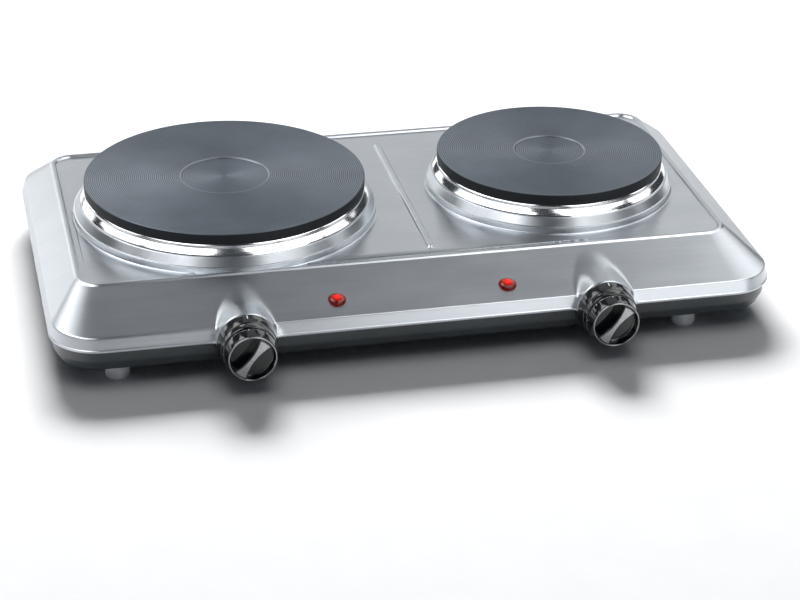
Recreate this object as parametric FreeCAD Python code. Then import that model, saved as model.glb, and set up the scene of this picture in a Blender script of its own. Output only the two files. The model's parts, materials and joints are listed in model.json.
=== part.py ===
"""Double cast-iron hot plate: two solid plates on a pressed steel cover over a black base pan.

Every piece is drawn about the middle of the housing, with X to the right, Y to the back and
Z up from the surface that the feet stand on. export() then moves it along Y, so that the
origin lies under the middle of the whole object, knobs and cable gland included.
"""
import FreeCAD, Part
import math
import os

# ---- housing -------------------------------------------------------------------------------
HOUSING_WIDTH = 469.0        # at the shoulder, where the skirt meets the upright band
HOUSING_DEPTH = 273.4
HOUSING_CORNER = 30.0        # corner radius at the shoulder
COVER_WALL = 0.9             # pressed stainless sheet
BASE_WALL = 1.2              # enamelled steel sheet
FOOT_HEIGHT = 10.6
BASE_CHAMFER_HEIGHT = 6.7
BASE_CHAMFER_INSET = 3.3
BASE_BAND_HEIGHT = 7.7       # black band seen between the chamfer and the steel
BASE_INSET = 0.3             # base wall inside the shoulder line
BASE_LIP = 3.0               # how far the base wall reaches up inside the cover
COVER_BAND_HEIGHT = 9.4
COVER_BAND_FLARE = 2.2       # the steel band leans out towards its lower edge
SHOULDER_BEVEL = 0.7
SKIRT_DROP = 14.1
SKIRT_SIDE = 19.0
SKIRT_BACK = 19.0
SKIRT_FRONT = 45.5
CREST_CORNER = 15.0
CREST_BEVEL = 0.9
CREST_WIDTH = 3.6            # raised rim round the panel
PANEL_RECESS = 1.4
SPLIT_GAP = 0.2              # between the cover's lower edge and what the base shows under it

# ---- divider pressed between the plates ------------------------------------------------------
DIVIDER_X = 16.0
DIVIDER_WIDTH = 5.0
DIVIDER_HEIGHT = 1.5
DIVIDER_FRONT_MARGIN = 17.0
DIVIDER_BACK_MARGIN = 23.0

# ---- plates: (name, centre X, plate radius, centre recess radius) ----------------------------
LARGE_PLATE_RADIUS = 94.0
SMALL_PLATE_RADIUS = 77.5
LARGE_PLATE_X = -106.4
SMALL_PLATE_X = 119.5
PLATE_Y = 10.9
LARGE_RECESS_RADIUS = 29.8
SMALL_RECESS_RADIUS = 24.5
PLATES = [
    ("large", LARGE_PLATE_X, LARGE_PLATE_RADIUS, LARGE_RECESS_RADIUS),
    ("small", SMALL_PLATE_X, SMALL_PLATE_RADIUS, SMALL_RECESS_RADIUS),
]
COLLAR_OVERHANG = 7.3        # collar radius beyond the plate
COLLAR_WALL_HEIGHT = 4.4
COLLAR_CONE_HEIGHT = 6.0
COLLAR_CONE_INSET = 3.6
TRIM_HEIGHT = 7.1
TRIM_WALL = 0.8
TRIM_CREASE = 4.3            # height of the crease where the lip meets the flare
TRIM_FOOT_OVERHANG = 3.0     # trim ring foot beyond the plate
TRIM_LIP_INSET = 1.0         # trim ring lip inside the plate edge
PLATE_RIM_HEIGHT = 7.2
PLATE_EDGE = 1.0
RECESS_DEPTH = 0.8
PLATE_BODY_INSET = 6.5       # the body under the rim is this much smaller
PLATE_BODY_DEPTH = 12.6
TRIM_BODY_CLEARANCE = 0.3
LEDGE_CLEARANCE = 1.0        # body to the hole in the cover
GROOVE_DEPTH = 10.0
GROOVE_WIDTH = 14.5
GROOVE_RIB = 3.5
GROOVE_COUNT = 3
COMPOUND_DEPTH = 8.0
COMPOUND_CLEARANCE = 0.05
SHIELD_INSET = 3.0
SHIELD_WALL = 0.8

# ---- plate fixing ----------------------------------------------------------------------------
STUD_RADIUS = 3.0
STUD_ENGAGEMENT = 6.0
STUD_TAIL = 3.0              # thread below the nut
THREAD_CLEARANCE = 0.05
STUD_NUT_FLATS = 10.0
STUD_NUT_HEIGHT = 5.0
BRIDGE_WIDTH = 20.0
BRIDGE_WALL = 2.0
BRIDGE_DROP = 12.0           # bridge bar below the shield
BRIDGE_LEG_GAP = 1.6         # upturned leg outside the plate body
TERMINAL_BLOCK_SIZE = (28.0, 14.0, 9.0)
TERMINAL_BLOCK_OFFSET = 24.0
TERMINAL_PINS = 4
TERMINAL_PIN_SIZE = (0.8, 4.8, 7.0)
TERMINAL_PIN_PITCH = 7.0

# ---- knobs and thermostats -------------------------------------------------------------------
KNOB_SPACING = 233.0
KNOB_Z = 25.3
BOSS_RADIUS = 19.4           # cover bulge round the bezel
BOSS_BACK_RADIUS = 17.0
BOSS_LENGTH = 29.0
BOSS_PROUD = 2.0             # boss front in front of the band's lower edge
BASE_BOSS_RADIUS = 19.2
BASE_BOSS_BACK_RADIUS = 13.6
BOSS_HOLE_RADIUS = 15.4
SPIGOT_CLEARANCE = 0.2
SPIGOT_DEPTH = 5.0
SPIGOT_WALL = 1.6
SNAP_PROUD = 0.6
SNAP_WIDTH = 6.0
SNAP_LENGTH = 1.6
SNAP_GAP = 0.1               # snap to the inside of the wall
BEZEL_RADIUS = 19.0
BEZEL_STEP_RADIUS = 17.9
BEZEL_NOSE_RADIUS = 17.5
BEZEL_FRONT_RADIUS = 17.2
BEZEL_SKIRT_LENGTH = 8.5
BEZEL_LENGTH = 13.5
BEZEL_WALL = 1.6
HUB_CLEARANCE = 0.7
KNOB_GAP = 0.4
KNOB_RADIUS = 16.6
KNOB_FACE_RADIUS = 15.2
KNOB_LENGTH = 9.8
KNOB_EDGE = 0.6              # rounding at the foot of the dish
KNOB_WALL = 1.6
RIM_WIDTH = 0.9
RIM_DEPTH = 1.0
DISH_DEPTH = 5.6
GRIP_WAIST = 4.6
GRIP_END = 9.4
GRIP_PROUD = 0.8
GRIP_ANGLE = 38.0            # grip turned clockwise from upright, seen from the front
INLAY_DEPTH = 0.5
INLAY_MARGIN = 1.0
INLAY_CLEARANCE = 0.05
HUB_RADIUS = 5.5
HUB_LENGTH = 8.0
SHAFT_RADIUS = 3.0
SHAFT_FLAT = 2.2             # flat of the D, measured from the shaft's centre
SHAFT_KEY_CLEARANCE = 0.05
SHAFT_RUNNING_CLEARANCE = 0.05
SHAFT_END_CLEARANCE = 0.4
SHAFT_IN_KNOB = 11.0
THERMOSTAT_SIZE = (34.0, 20.0, 22.0)
THERMOSTAT_SETBACK = 23.0    # thermostat face behind the boss front
THERMOSTAT_SHAFT_DEPTH = 17.0
NECK_RADIUS = 5.0
NECK_LENGTH = 6.0
NECK_CLEARANCE = 0.1
NECK_NUT_FLATS = 14.0
NECK_NUT_HEIGHT = 2.6
BRACKET_WALL = 1.2
BRACKET_SIDE = 4.0           # bracket wider than the thermostat on each side
BRACKET_TOP = 3.0            # bracket above the shaft neck
BRACKET_TAIL = 11.2          # bracket foot behind the thermostat
BLADE_WALL = 0.5
BLADE_WIDTH = 6.0
BLADE_SEAT = 14.0            # length of blade that lies on the thermostat
BLADE_TAIL = 7.0             # terminal tails behind the thermostat
BLADE_PITCH = 16.0

# ---- indicator lamps -------------------------------------------------------------------------
LAMP_SPACING = 111.4
LAMP_RISE = 14.6             # lamp centre behind the shoulder
LENS_RADIUS = 5.9
LENS_FLANGE = 0.8
LENS_DOME = 3.0
LENS_DOME_STEPS = 6
LENS_BARREL_RADIUS = 4.4
LENS_BARREL_LENGTH = 8.0
LENS_BORE_RADIUS = 3.4
LENS_HOLE_CLEARANCE = 0.2
LAMP_TUBE_RADIUS = 2.8
LAMP_TUBE_LENGTH = 11.0
CLIP_RADIUS = 7.2
CLIP_WALL = 0.6
CLIP_CLEARANCE = 0.05

# ---- feet, posts and screws ------------------------------------------------------------------
FOOT_RADIUS = 7.8
FOOT_EDGE = 2.2
FOOT_BORE_RADIUS = 4.0
FOOT_FLOOR = 3.0             # rubber under the screw head's seat, measured from the base
LEFT_FEET_X = -196.0
RIGHT_FEET_X = 176.0
FRONT_FEET_MARGIN = 14.2     # foot centre behind the shoulder line
BACK_FEET_MARGIN = 16.0
POST_RADIUS = 4.0
POST_MARGIN_X = 10.0         # post centre inside the crest line
POST_MARGIN_Y = 12.0
SCREW_RADIUS = 2.0
SCREW_HEAD_RADIUS = 3.6
SCREW_HEAD_HEIGHT = 2.0
SCREW_SLOT = 0.9
SCREW_HOLE_CLEARANCE = 0.25
SCREW_LENGTH = 9.0
SMALL_SCREW_RADIUS = 1.5
SMALL_SCREW_HEAD_RADIUS = 2.8
SMALL_SCREW_LENGTH = 4.0

# ---- mains connection ------------------------------------------------------------------------
GLAND_X = 150.0
GLAND_PAD_WIDTH = 22.0
GLAND_PAD_PROUD = 2.0
GLAND_PAD_TOP = 1.0          # pad top below the cover's lower edge
GLAND_RADIUS = 4.8
GLAND_FLANGE_RADIUS = 6.2
GLAND_FLANGE = 3.0
GLAND_INSIDE = 2.5
GLAND_CLEARANCE = 0.2
GLAND_SNAP = 0.5             # snap ring inside the wall, proud of the barrel
GLAND_EDGE = 0.8
GLAND_BORE_RADIUS = 3.4
MAINS_BLOCK_SIZE = (32.0, 16.0, 14.0)
MAINS_BLOCK_GAP = 16.0       # block behind the base's back wall
MAINS_POLES = 3
MAINS_POLE_PITCH = 9.5
MAINS_CLAMP_RADIUS = 2.4
MAINS_CLAMP_HEIGHT = 2.0
EARTH_OFFSET = 34.0          # earth screw beside the mains block
EARTH_TAG_RADIUS = 4.5
EARTH_TAG_WALL = 0.8
WIRE_RADIUS = 1.3
WIRE_BEND = 6.0
LIVE_LANE_OFFSET = 27.0      # the left live wire runs back this far right of the large plate's middle
LIVE_LANE_GAP = 15.0         # and crosses this far in front of the mains block
NEUTRAL_LANE_GAP = 36.0
LINK_LANE_GAP = 15.0         # plate to plate, behind the pins
LIVE_TURN_GAP = 36.0         # where the live wires turn, in front of the pins
REGULATOR_TURN_GAP = 18.0
LAMP_TURN_GAP = 24.0
WIRE_LIFT = 9.0              # most wires run this far above the base floor
LAMP_WIRE_LIFT = 4.0         # the lamp leads pass under them
LINK_WIRE_LIFT = 14.4        # and the link between the plates passes over them

# ---- levels and lines worked out from the sizes above ------------------------------------------
BASE_Z = FOOT_HEIGHT
FLOOR_Z = BASE_Z + BASE_WALL
CHAMFER_Z = BASE_Z + BASE_CHAMFER_HEIGHT
COVER_Z = CHAMFER_Z + BASE_BAND_HEIGHT
SHOULDER_Z = COVER_Z + COVER_BAND_HEIGHT
CREST_Z = SHOULDER_Z + SKIRT_DROP
PANEL_Z = CREST_Z - PANEL_RECESS
COLLAR_Z = PANEL_Z + COLLAR_WALL_HEIGHT
LEDGE_Z = COLLAR_Z + COLLAR_CONE_HEIGHT
RIM_Z = LEDGE_Z + TRIM_HEIGHT
TOP_Z = RIM_Z + PLATE_RIM_HEIGHT
BODY_Z = RIM_Z - PLATE_BODY_DEPTH
SHIELD_Z = BODY_Z - SHIELD_WALL
BRIDGE_Z = SHIELD_Z - BRIDGE_DROP
HALF_WIDTH = HOUSING_WIDTH / 2
HALF_DEPTH = HOUSING_DEPTH / 2
BOSS_Y = -HALF_DEPTH - COVER_BAND_FLARE - BOSS_PROUD
BEZEL_Y = BOSS_Y - BEZEL_LENGTH
KNOB_Y = BEZEL_Y - KNOB_GAP
KNOB_FACE_Y = KNOB_Y - KNOB_LENGTH
GRIP_Y = KNOB_FACE_Y - GRIP_PROUD
THERMOSTAT_Y = BOSS_Y + THERMOSTAT_SETBACK
BASE_BACK_Y = HALF_DEPTH - BASE_INSET
GLAND_PAD_Y = BASE_BACK_Y + GLAND_PAD_PROUD
GLAND_BACK_Y = GLAND_PAD_Y + GLAND_FLANGE
CREST_EDGE_Z = CREST_Z - CREST_BEVEL / 3
SKIRT_ANGLE = math.atan2(CREST_EDGE_Z - SHOULDER_Z, SKIRT_FRONT - SHOULDER_BEVEL)
SKIRT_WALL = COVER_WALL * (math.sin(SKIRT_ANGLE) + math.cos(SKIRT_ANGLE))
WIRE_Z = FLOOR_Z + WIRE_LIFT
LAMP_WIRE_Z = FLOOR_Z + LAMP_WIRE_LIFT
LINK_WIRE_Z = FLOOR_Z + LINK_WIRE_LIFT
ORIGIN_SHIFT = -(GRIP_Y + GLAND_BACK_Y) / 2
KNOBS = [("left", -KNOB_SPACING / 2), ("right", KNOB_SPACING / 2)]
LAMPS = [("left", -LAMP_SPACING / 2), ("right", LAMP_SPACING / 2)]

Vector = FreeCAD.Vector
UP = Vector(0, 0, 1)
FORWARD = Vector(0, -1, 0)
BACK = Vector(0, 1, 0)


def export(name, *solids):
    """Write one node, moved so that the origin lies under the middle of the object."""
    shape = solids[0] if len(solids) == 1 else Part.makeCompound(list(solids))
    moved = shape.copy()
    moved.translate(Vector(0, ORIGIN_SHIFT, 0))
    moved.exportStep("parts/" + name + ".step")


def fuse(first, *others):
    return first.fuse(list(others)).removeSplitter()


def cylinder(radius, height, base, axis=UP):
    return Part.makeCylinder(radius, height, base, axis)


def box(size_x, size_y, size_z, centre_x, centre_y, bottom_z):
    corner = Vector(centre_x - size_x / 2, centre_y - size_y / 2, bottom_z)
    return Part.makeBox(size_x, size_y, size_z, corner)


def hexagon(flats, height, base, axis=UP):
    """A nut blank: a hexagonal prism on its axis."""
    radius = flats / math.sqrt(3)
    points = [Vector(radius * math.cos(k * math.pi / 3), radius * math.sin(k * math.pi / 3), 0)
              for k in range(7)]
    prism = Part.Face(Part.makePolygon(points)).extrude(Vector(0, 0, height))
    prism.Placement = FreeCAD.Placement(base, FreeCAD.Rotation(UP, axis))
    return prism


def nut(flats, height, bore, base, axis=UP):
    return hexagon(flats, height, base, axis).cut(cylinder(bore, height, base, axis))


def screw(radius, length, head_radius, seat, axis=UP):
    """A cheese-head screw: its head lies behind the seat, its shank runs along the axis."""
    behind = seat - axis * SCREW_HEAD_HEIGHT
    body = fuse(cylinder(head_radius, SCREW_HEAD_HEIGHT, behind, axis),
                cylinder(radius, length, seat, axis))
    slot = Part.makeBox(2 * head_radius, SCREW_SLOT, SCREW_SLOT,
                        Vector(-head_radius, -SCREW_SLOT / 2, 0))
    slot.Placement = FreeCAD.Placement(behind, FreeCAD.Rotation(UP, axis))
    return body.cut(slot)


def turned(points, centre, axis=UP):
    """A solid turned from an outline of (radius, height) points about the axis."""
    loop = [Vector(radius, 0, height) for radius, height in points]
    face = Part.Face(Part.makePolygon(loop + loop[:1]))
    solid = face.revolve(Vector(0, 0, 0), UP, 360)
    solid.Placement = FreeCAD.Placement(centre, FreeCAD.Rotation(UP, axis))
    return solid


def rounded_rectangle(side, front, back, radius, z):
    """A closed wire: the shoulder rectangle taken in by the three insets, corners rounded."""
    x = HALF_WIDTH - side
    low, high = -HALF_DEPTH + front, HALF_DEPTH - back
    diagonal = radius * (1 - math.sqrt(0.5))
    edges = []
    corners = [(x, low, 1, -1), (x, high, 1, 1), (-x, high, -1, 1), (-x, low, -1, -1)]
    ends = []
    for corner_x, corner_y, sx, sy in corners:
        along_y = Vector(corner_x, corner_y - sy * radius, z)
        along_x = Vector(corner_x - sx * radius, corner_y, z)
        middle = Vector(corner_x - sx * diagonal, corner_y - sy * diagonal, z)
        pair = (along_y, along_x) if sx * sy > 0 else (along_x, along_y)
        ends.append(pair)
        edges.append(Part.Arc(pair[0], middle, pair[1]).toShape())
    wire_edges = []
    for k in range(4):
        wire_edges.append(edges[k])
        wire_edges.append(Part.LineSegment(ends[k][1], ends[(k + 1) % 4][0]).toShape())
    return Part.Wire(wire_edges)


def stacked(levels):
    """A solid through rounded rectangles, each (side, front, back, radius, z)."""
    return Part.makeLoft([rounded_rectangle(*level) for level in levels], True, True)


# ---- top cover ---------------------------------------------------------------------------------
def cover_block(offset):
    """The cover's outer form, taken in by the offset: with 0 it is the outside of the sheet."""
    flare = COVER_BAND_FLARE
    bottom = COVER_Z - offset
    bevel = SHOULDER_BEVEL
    block = stacked([
        (offset - flare, offset - flare, offset - flare, HOUSING_CORNER + flare - offset, bottom),
        (offset, offset, offset, HOUSING_CORNER - offset, SHOULDER_Z - bevel - offset),
        (offset + bevel, offset + bevel, offset + bevel, HOUSING_CORNER - bevel - offset,
         SHOULDER_Z - offset),
        (offset + SKIRT_SIDE, offset + SKIRT_FRONT, offset + SKIRT_BACK, CREST_CORNER - offset,
         CREST_EDGE_Z - offset),
        (offset + SKIRT_SIDE + CREST_BEVEL, offset + SKIRT_FRONT + CREST_BEVEL,
         offset + SKIRT_BACK + CREST_BEVEL, CREST_CORNER - CREST_BEVEL - offset,
         CREST_Z - offset),
    ])
    inset = CREST_WIDTH - offset
    recess_radius = CREST_CORNER - inset
    recess = stacked([
        (SKIRT_SIDE + inset, SKIRT_FRONT + inset, SKIRT_BACK + inset, recess_radius,
         PANEL_Z - offset),
        (SKIRT_SIDE + inset, SKIRT_FRONT + inset, SKIRT_BACK + inset, recess_radius,
         CREST_Z + 1),
    ])
    block = block.cut(recess)
    additions = [divider(offset)]
    for _, centre_x, radius, _ in PLATES:
        additions.append(collar(centre_x, radius, offset))
    for _, knob_x in KNOBS:
        additions.append(cover_boss(knob_x, offset))
    return fuse(block, *additions)


def divider(offset):
    """The straight bead pressed up between the two plates."""
    front = -HALF_DEPTH + SKIRT_FRONT + DIVIDER_FRONT_MARGIN
    back = HALF_DEPTH - SKIRT_BACK - DIVIDER_BACK_MARGIN
    radius = DIVIDER_WIDTH / 2 - offset
    root = PANEL_Z - 2 * COVER_WALL
    height = PANEL_Z + DIVIDER_HEIGHT - offset - root
    bar = box(2 * radius, back - front, height, DIVIDER_X, (front + back) / 2, root)
    ends = [cylinder(radius, height, Vector(DIVIDER_X, y, root)) for y in (front, back)]
    return fuse(bar, *ends)


def collar(centre_x, plate_radius, offset):
    """The collar pressed up round a plate: an upright wall and then a steep cone."""
    radius = plate_radius + COLLAR_OVERHANG - offset
    root = PANEL_Z - 2 * COVER_WALL
    return turned([(0, root), (radius, root), (radius, COLLAR_Z - offset),
                   (radius - COLLAR_CONE_INSET, LEDGE_Z - offset), (0, LEDGE_Z - offset)],
                  Vector(centre_x, PLATE_Y, 0))


def cover_boss(knob_x, offset):
    """The upper half of the bulge round a knob, in the cover."""
    cone = Part.makeCone(BOSS_RADIUS - offset, BOSS_BACK_RADIUS - offset, BOSS_LENGTH,
                         Vector(knob_x, BOSS_Y + offset, KNOB_Z), BACK)
    side = 4 * BOSS_RADIUS
    above = box(side, side, side, knob_x, BOSS_Y, COVER_Z - offset)
    return cone.common(above)


def ledge_hole_radius(plate_radius):
    return plate_radius - PLATE_BODY_INSET + LEDGE_CLEARANCE


def top_cover():
    cover = cover_block(0).cut(cover_block(COVER_WALL))
    cuts = []
    for _, centre_x, radius, _ in PLATES:
        cuts.append(cylinder(ledge_hole_radius(radius), 4 * COVER_WALL,
                             Vector(centre_x, PLATE_Y, LEDGE_Z - 2 * COVER_WALL)))
    for _, knob_x in KNOBS:
        cuts.append(cylinder(BOSS_HOLE_RADIUS, 4 * COVER_WALL,
                             Vector(knob_x, BOSS_Y - COVER_WALL, KNOB_Z), BACK))
    for _, lamp_x in LAMPS:
        hole = cylinder(LENS_BARREL_RADIUS + LENS_HOLE_CLEARANCE, 8 * COVER_WALL,
                        Vector(0, 0, -4 * COVER_WALL))
        cuts.append(on_skirt(hole, lamp_x))
    return cover.cut(cuts)


def on_skirt(shape, x):
    """Place a piece drawn about +Z on the front skirt, at a lamp's station."""
    rise = (LAMP_RISE - SHOULDER_BEVEL) * math.tan(SKIRT_ANGLE)
    place = Vector(x, -HALF_DEPTH + LAMP_RISE, SHOULDER_Z + rise)
    tilt = FreeCAD.Rotation(Vector(1, 0, 0), math.degrees(SKIRT_ANGLE))
    placed = shape.copy()
    placed.Placement = FreeCAD.Placement(place, tilt).multiply(shape.Placement)
    return placed


# ---- base pan ----------------------------------------------------------------------------------
def base_block(offset):
    inset = BASE_INSET + offset
    low = inset + BASE_CHAMFER_INSET
    radius = HOUSING_CORNER - inset
    rise = BASE_LIP if offset == 0 else BASE_LIP + 1
    block = stacked([
        (low, low, low, radius - BASE_CHAMFER_INSET, BASE_Z + offset),
        (inset, inset, inset, radius, CHAMFER_Z + offset / 2),
        (inset, inset, inset, radius, COVER_Z + rise),
    ])
    pad_height = COVER_Z - GLAND_PAD_TOP - BASE_Z - 2 * offset
    pad = box(GLAND_PAD_WIDTH - 2 * offset, 3 * GLAND_PAD_PROUD + BASE_CHAMFER_INSET, pad_height,
              GLAND_X, 0, BASE_Z + offset)
    pad.translate(Vector(0, GLAND_PAD_Y - offset - pad.BoundBox.YMax, 0))
    additions = [pad]
    for _, knob_x in KNOBS:
        cone = Part.makeCone(BASE_BOSS_RADIUS - offset, BASE_BOSS_BACK_RADIUS - offset,
                             BOSS_LENGTH, Vector(knob_x, BOSS_Y + SPLIT_GAP + offset, KNOB_Z), BACK)
        side = 4 * BOSS_RADIUS
        below = box(side, side, side, knob_x, BOSS_Y, COVER_Z - SPLIT_GAP - side)
        additions.append(cone.common(below))
    return fuse(block, *additions)


def base_pan():
    pan = base_block(0).cut(base_block(BASE_WALL))
    cuts = []
    for _, knob_x in KNOBS:
        cuts.append(cylinder(BOSS_HOLE_RADIUS, 4 * BASE_WALL,
                             Vector(knob_x, BOSS_Y - BASE_WALL, KNOB_Z), BACK))
        lip_room = cylinder(BOSS_RADIUS + SPLIT_GAP + COVER_WALL, BOSS_LENGTH,
                            Vector(knob_x, BOSS_Y, KNOB_Z), BACK)
        side = 4 * BOSS_RADIUS
        cuts.append(lip_room.common(box(side, side, side, knob_x, BOSS_Y, COVER_Z - SPLIT_GAP)))
        for x, y in bracket_screw_places(knob_x):
            cuts.append(cylinder(SMALL_SCREW_RADIUS + SCREW_HOLE_CLEARANCE, 3 * BASE_WALL,
                                 Vector(x, y, BASE_Z - BASE_WALL)))
    for x, y in post_places() + foot_places() + [earth_place()]:
        cuts.append(cylinder(SCREW_RADIUS + SCREW_HOLE_CLEARANCE, 3 * BASE_WALL,
                             Vector(x, y, BASE_Z - BASE_WALL)))
    cuts.append(cylinder(GLAND_RADIUS + GLAND_CLEARANCE, 4 * BASE_WALL,
                         Vector(GLAND_X, GLAND_PAD_Y - 2 * BASE_WALL, gland_z()), BACK))
    return pan.cut(cuts)


def post_places():
    x = HALF_WIDTH - SKIRT_SIDE - POST_MARGIN_X
    front = -HALF_DEPTH + SKIRT_FRONT + POST_MARGIN_Y
    back = HALF_DEPTH - SKIRT_BACK - POST_MARGIN_Y
    return [(-x, front), (-x, back), (DIVIDER_X, front), (DIVIDER_X, back), (x, front), (x, back)]


def foot_places():
    front = -HALF_DEPTH + FRONT_FEET_MARGIN
    back = HALF_DEPTH - BACK_FEET_MARGIN
    return [(LEFT_FEET_X, front), (RIGHT_FEET_X, front), (LEFT_FEET_X, back), (RIGHT_FEET_X, back)]


def foot(x, y):
    """A round soft foot with a rounded lower edge, hollow for its screw's head."""
    edge = FOOT_EDGE / 2
    outline = [(FOOT_BORE_RADIUS, 0), (FOOT_RADIUS - FOOT_EDGE, 0), (FOOT_RADIUS - edge / 2, edge),
               (FOOT_RADIUS, FOOT_EDGE), (FOOT_RADIUS - edge / 2, FOOT_HEIGHT),
               (SCREW_RADIUS + SCREW_HOLE_CLEARANCE, FOOT_HEIGHT),
               (SCREW_RADIUS + SCREW_HOLE_CLEARANCE, FOOT_HEIGHT - FOOT_FLOOR),
               (FOOT_BORE_RADIUS, FOOT_HEIGHT - FOOT_FLOOR)]
    return turned(outline, Vector(x, y, 0))


def floor_nut(x, y, bottom):
    return nut(2 * SCREW_HEAD_RADIUS, SCREW_HEAD_HEIGHT, SCREW_RADIUS + THREAD_CLEARANCE,
               Vector(x, y, bottom))


def post(x, y):
    """A threaded spacer welded under the panel; a screw through the base ends in it."""
    height = PANEL_Z - COVER_WALL - FLOOR_Z
    body = cylinder(POST_RADIUS, height, Vector(x, y, FLOOR_Z))
    bore = cylinder(SCREW_RADIUS + THREAD_CLEARANCE, SCREW_LENGTH, Vector(x, y, FLOOR_Z))
    return body.cut(bore)


# ---- plates ------------------------------------------------------------------------------------
def groove_radii(plate_radius):
    """Inner and outer radius of each heater groove, from the body's edge inwards."""
    outer = plate_radius - PLATE_BODY_INSET - GROOVE_RIB
    radii = []
    for _ in range(GROOVE_COUNT):
        radii.append((outer - GROOVE_WIDTH, outer))
        outer -= GROOVE_WIDTH + GROOVE_RIB
    return radii


def plate(centre_x, radius, recess_radius):
    """A cast plate: a flat top with a shallow centre recess, heater grooves on its underside."""
    body = radius - PLATE_BODY_INSET
    outline = [(0, BODY_Z), (body, BODY_Z), (body, RIM_Z), (radius - PLATE_EDGE / 2, RIM_Z),
               (radius, RIM_Z + PLATE_EDGE), (radius, TOP_Z - PLATE_EDGE),
               (radius - PLATE_EDGE / 3, TOP_Z - PLATE_EDGE / 3), (radius - PLATE_EDGE, TOP_Z),
               (recess_radius, TOP_Z), (recess_radius - RECESS_DEPTH, TOP_Z - RECESS_DEPTH),
               (0, TOP_Z - RECESS_DEPTH)]
    iron = turned(outline, Vector(centre_x, PLATE_Y, 0))
    cuts = [ring(inner, outer, GROOVE_DEPTH, centre_x, BODY_Z)
            for inner, outer in groove_radii(radius)]
    cuts.append(cylinder(STUD_RADIUS + THREAD_CLEARANCE, STUD_ENGAGEMENT,
                         Vector(centre_x, PLATE_Y, BODY_Z)))
    return iron.cut(cuts)


def ring(inner, outer, height, centre_x, bottom):
    centre = Vector(centre_x, PLATE_Y, bottom)
    return cylinder(outer, height, centre).cut(cylinder(inner, height, centre))


def heater_rings(centre_x, radius):
    """The heating coils in their pressed compound, one ring in each groove."""
    bottom = BODY_Z + GROOVE_DEPTH - COMPOUND_DEPTH
    return [ring(inner + COMPOUND_CLEARANCE, outer - COMPOUND_CLEARANCE, COMPOUND_DEPTH,
                 centre_x, bottom) for inner, outer in groove_radii(radius)]


def trim_ring(centre_x, radius):
    """The polished ring between plate and collar: a lip under the rim, then an outward flare."""
    lip = radius - TRIM_LIP_INSET
    foot_radius = radius + TRIM_FOOT_OVERHANG
    inner = radius - PLATE_BODY_INSET + TRIM_BODY_CLEARANCE
    crease = LEDGE_Z + TRIM_CREASE
    wall = TRIM_WALL
    outline = [(inner, RIM_Z), (lip, RIM_Z), (lip + wall / 2, RIM_Z - wall),
               (lip + wall, crease), (foot_radius - wall / 2, LEDGE_Z + 2 * wall),
               (foot_radius, LEDGE_Z + wall), (foot_radius, LEDGE_Z), (foot_radius - 2 * wall, LEDGE_Z),
               (foot_radius - 2 * wall, LEDGE_Z + wall), (lip, crease - wall / 2),
               (lip - wall / 2, RIM_Z - 2 * wall), (lip - wall, RIM_Z - wall), (inner, RIM_Z - wall)]
    return turned(outline, Vector(centre_x, PLATE_Y, 0))


def plate_shield(centre_x, radius):
    """A thin steel disc that closes the grooves from below."""
    centre = Vector(centre_x, PLATE_Y, SHIELD_Z)
    disc = cylinder(radius - PLATE_BODY_INSET - SHIELD_INSET, SHIELD_WALL, centre)
    return disc.cut(cylinder(STUD_RADIUS + SCREW_HOLE_CLEARANCE, SHIELD_WALL, centre))


def plate_stud(centre_x):
    bottom = BRIDGE_Z - STUD_NUT_HEIGHT - STUD_TAIL
    return cylinder(STUD_RADIUS, BODY_Z + STUD_ENGAGEMENT - bottom, Vector(centre_x, PLATE_Y, bottom))


def clamp_bridge(centre_x, radius):
    """A flat bar under the plate whose upturned legs pull on the collar's ledge."""
    body = radius - PLATE_BODY_INSET
    leg_x = body + BRIDGE_LEG_GAP + BRIDGE_WALL
    ledge_underside = LEDGE_Z - COVER_WALL
    bar = box(2 * leg_x, BRIDGE_WIDTH, BRIDGE_WALL, centre_x, PLATE_Y, BRIDGE_Z)
    legs = [box(BRIDGE_WALL, BRIDGE_WIDTH, ledge_underside - BRIDGE_Z,
                centre_x + side * (leg_x - BRIDGE_WALL / 2), PLATE_Y, BRIDGE_Z) for side in (-1, 1)]
    hole = cylinder(STUD_RADIUS + SCREW_HOLE_CLEARANCE, BRIDGE_WALL,
                    Vector(centre_x, PLATE_Y, BRIDGE_Z))
    return fuse(bar, *legs).cut(hole)


def terminal_y():
    return PLATE_Y - TERMINAL_BLOCK_OFFSET


def terminal_block(centre_x):
    """The ceramic block under the shield that carries the plate's connecting pins."""
    size_x, size_y, size_z = TERMINAL_BLOCK_SIZE
    block = box(size_x, size_y, size_z, centre_x, terminal_y(), SHIELD_Z - size_z)
    slots = [terminal_pin(centre_x, k, COMPOUND_CLEARANCE) for k in range(TERMINAL_PINS)]
    return block.cut(slots)


def pin_x(centre_x, k):
    return centre_x + (k - (TERMINAL_PINS - 1) / 2) * TERMINAL_PIN_PITCH


def terminal_pin(centre_x, k, clearance):
    thickness, width, length = TERMINAL_PIN_SIZE
    block_height = TERMINAL_BLOCK_SIZE[2]
    return box(thickness + 2 * clearance, width + 2 * clearance, length + block_height / 2,
               pin_x(centre_x, k), terminal_y(), SHIELD_Z - block_height - length)


# ---- knobs, bezels and thermostats ----------------------------------------------------------------
def facing(points, knob_x, y):
    """Turned about a knob's axis; heights are measured forwards from y."""
    return turned(points, Vector(knob_x, y, KNOB_Z), FORWARD)


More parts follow.
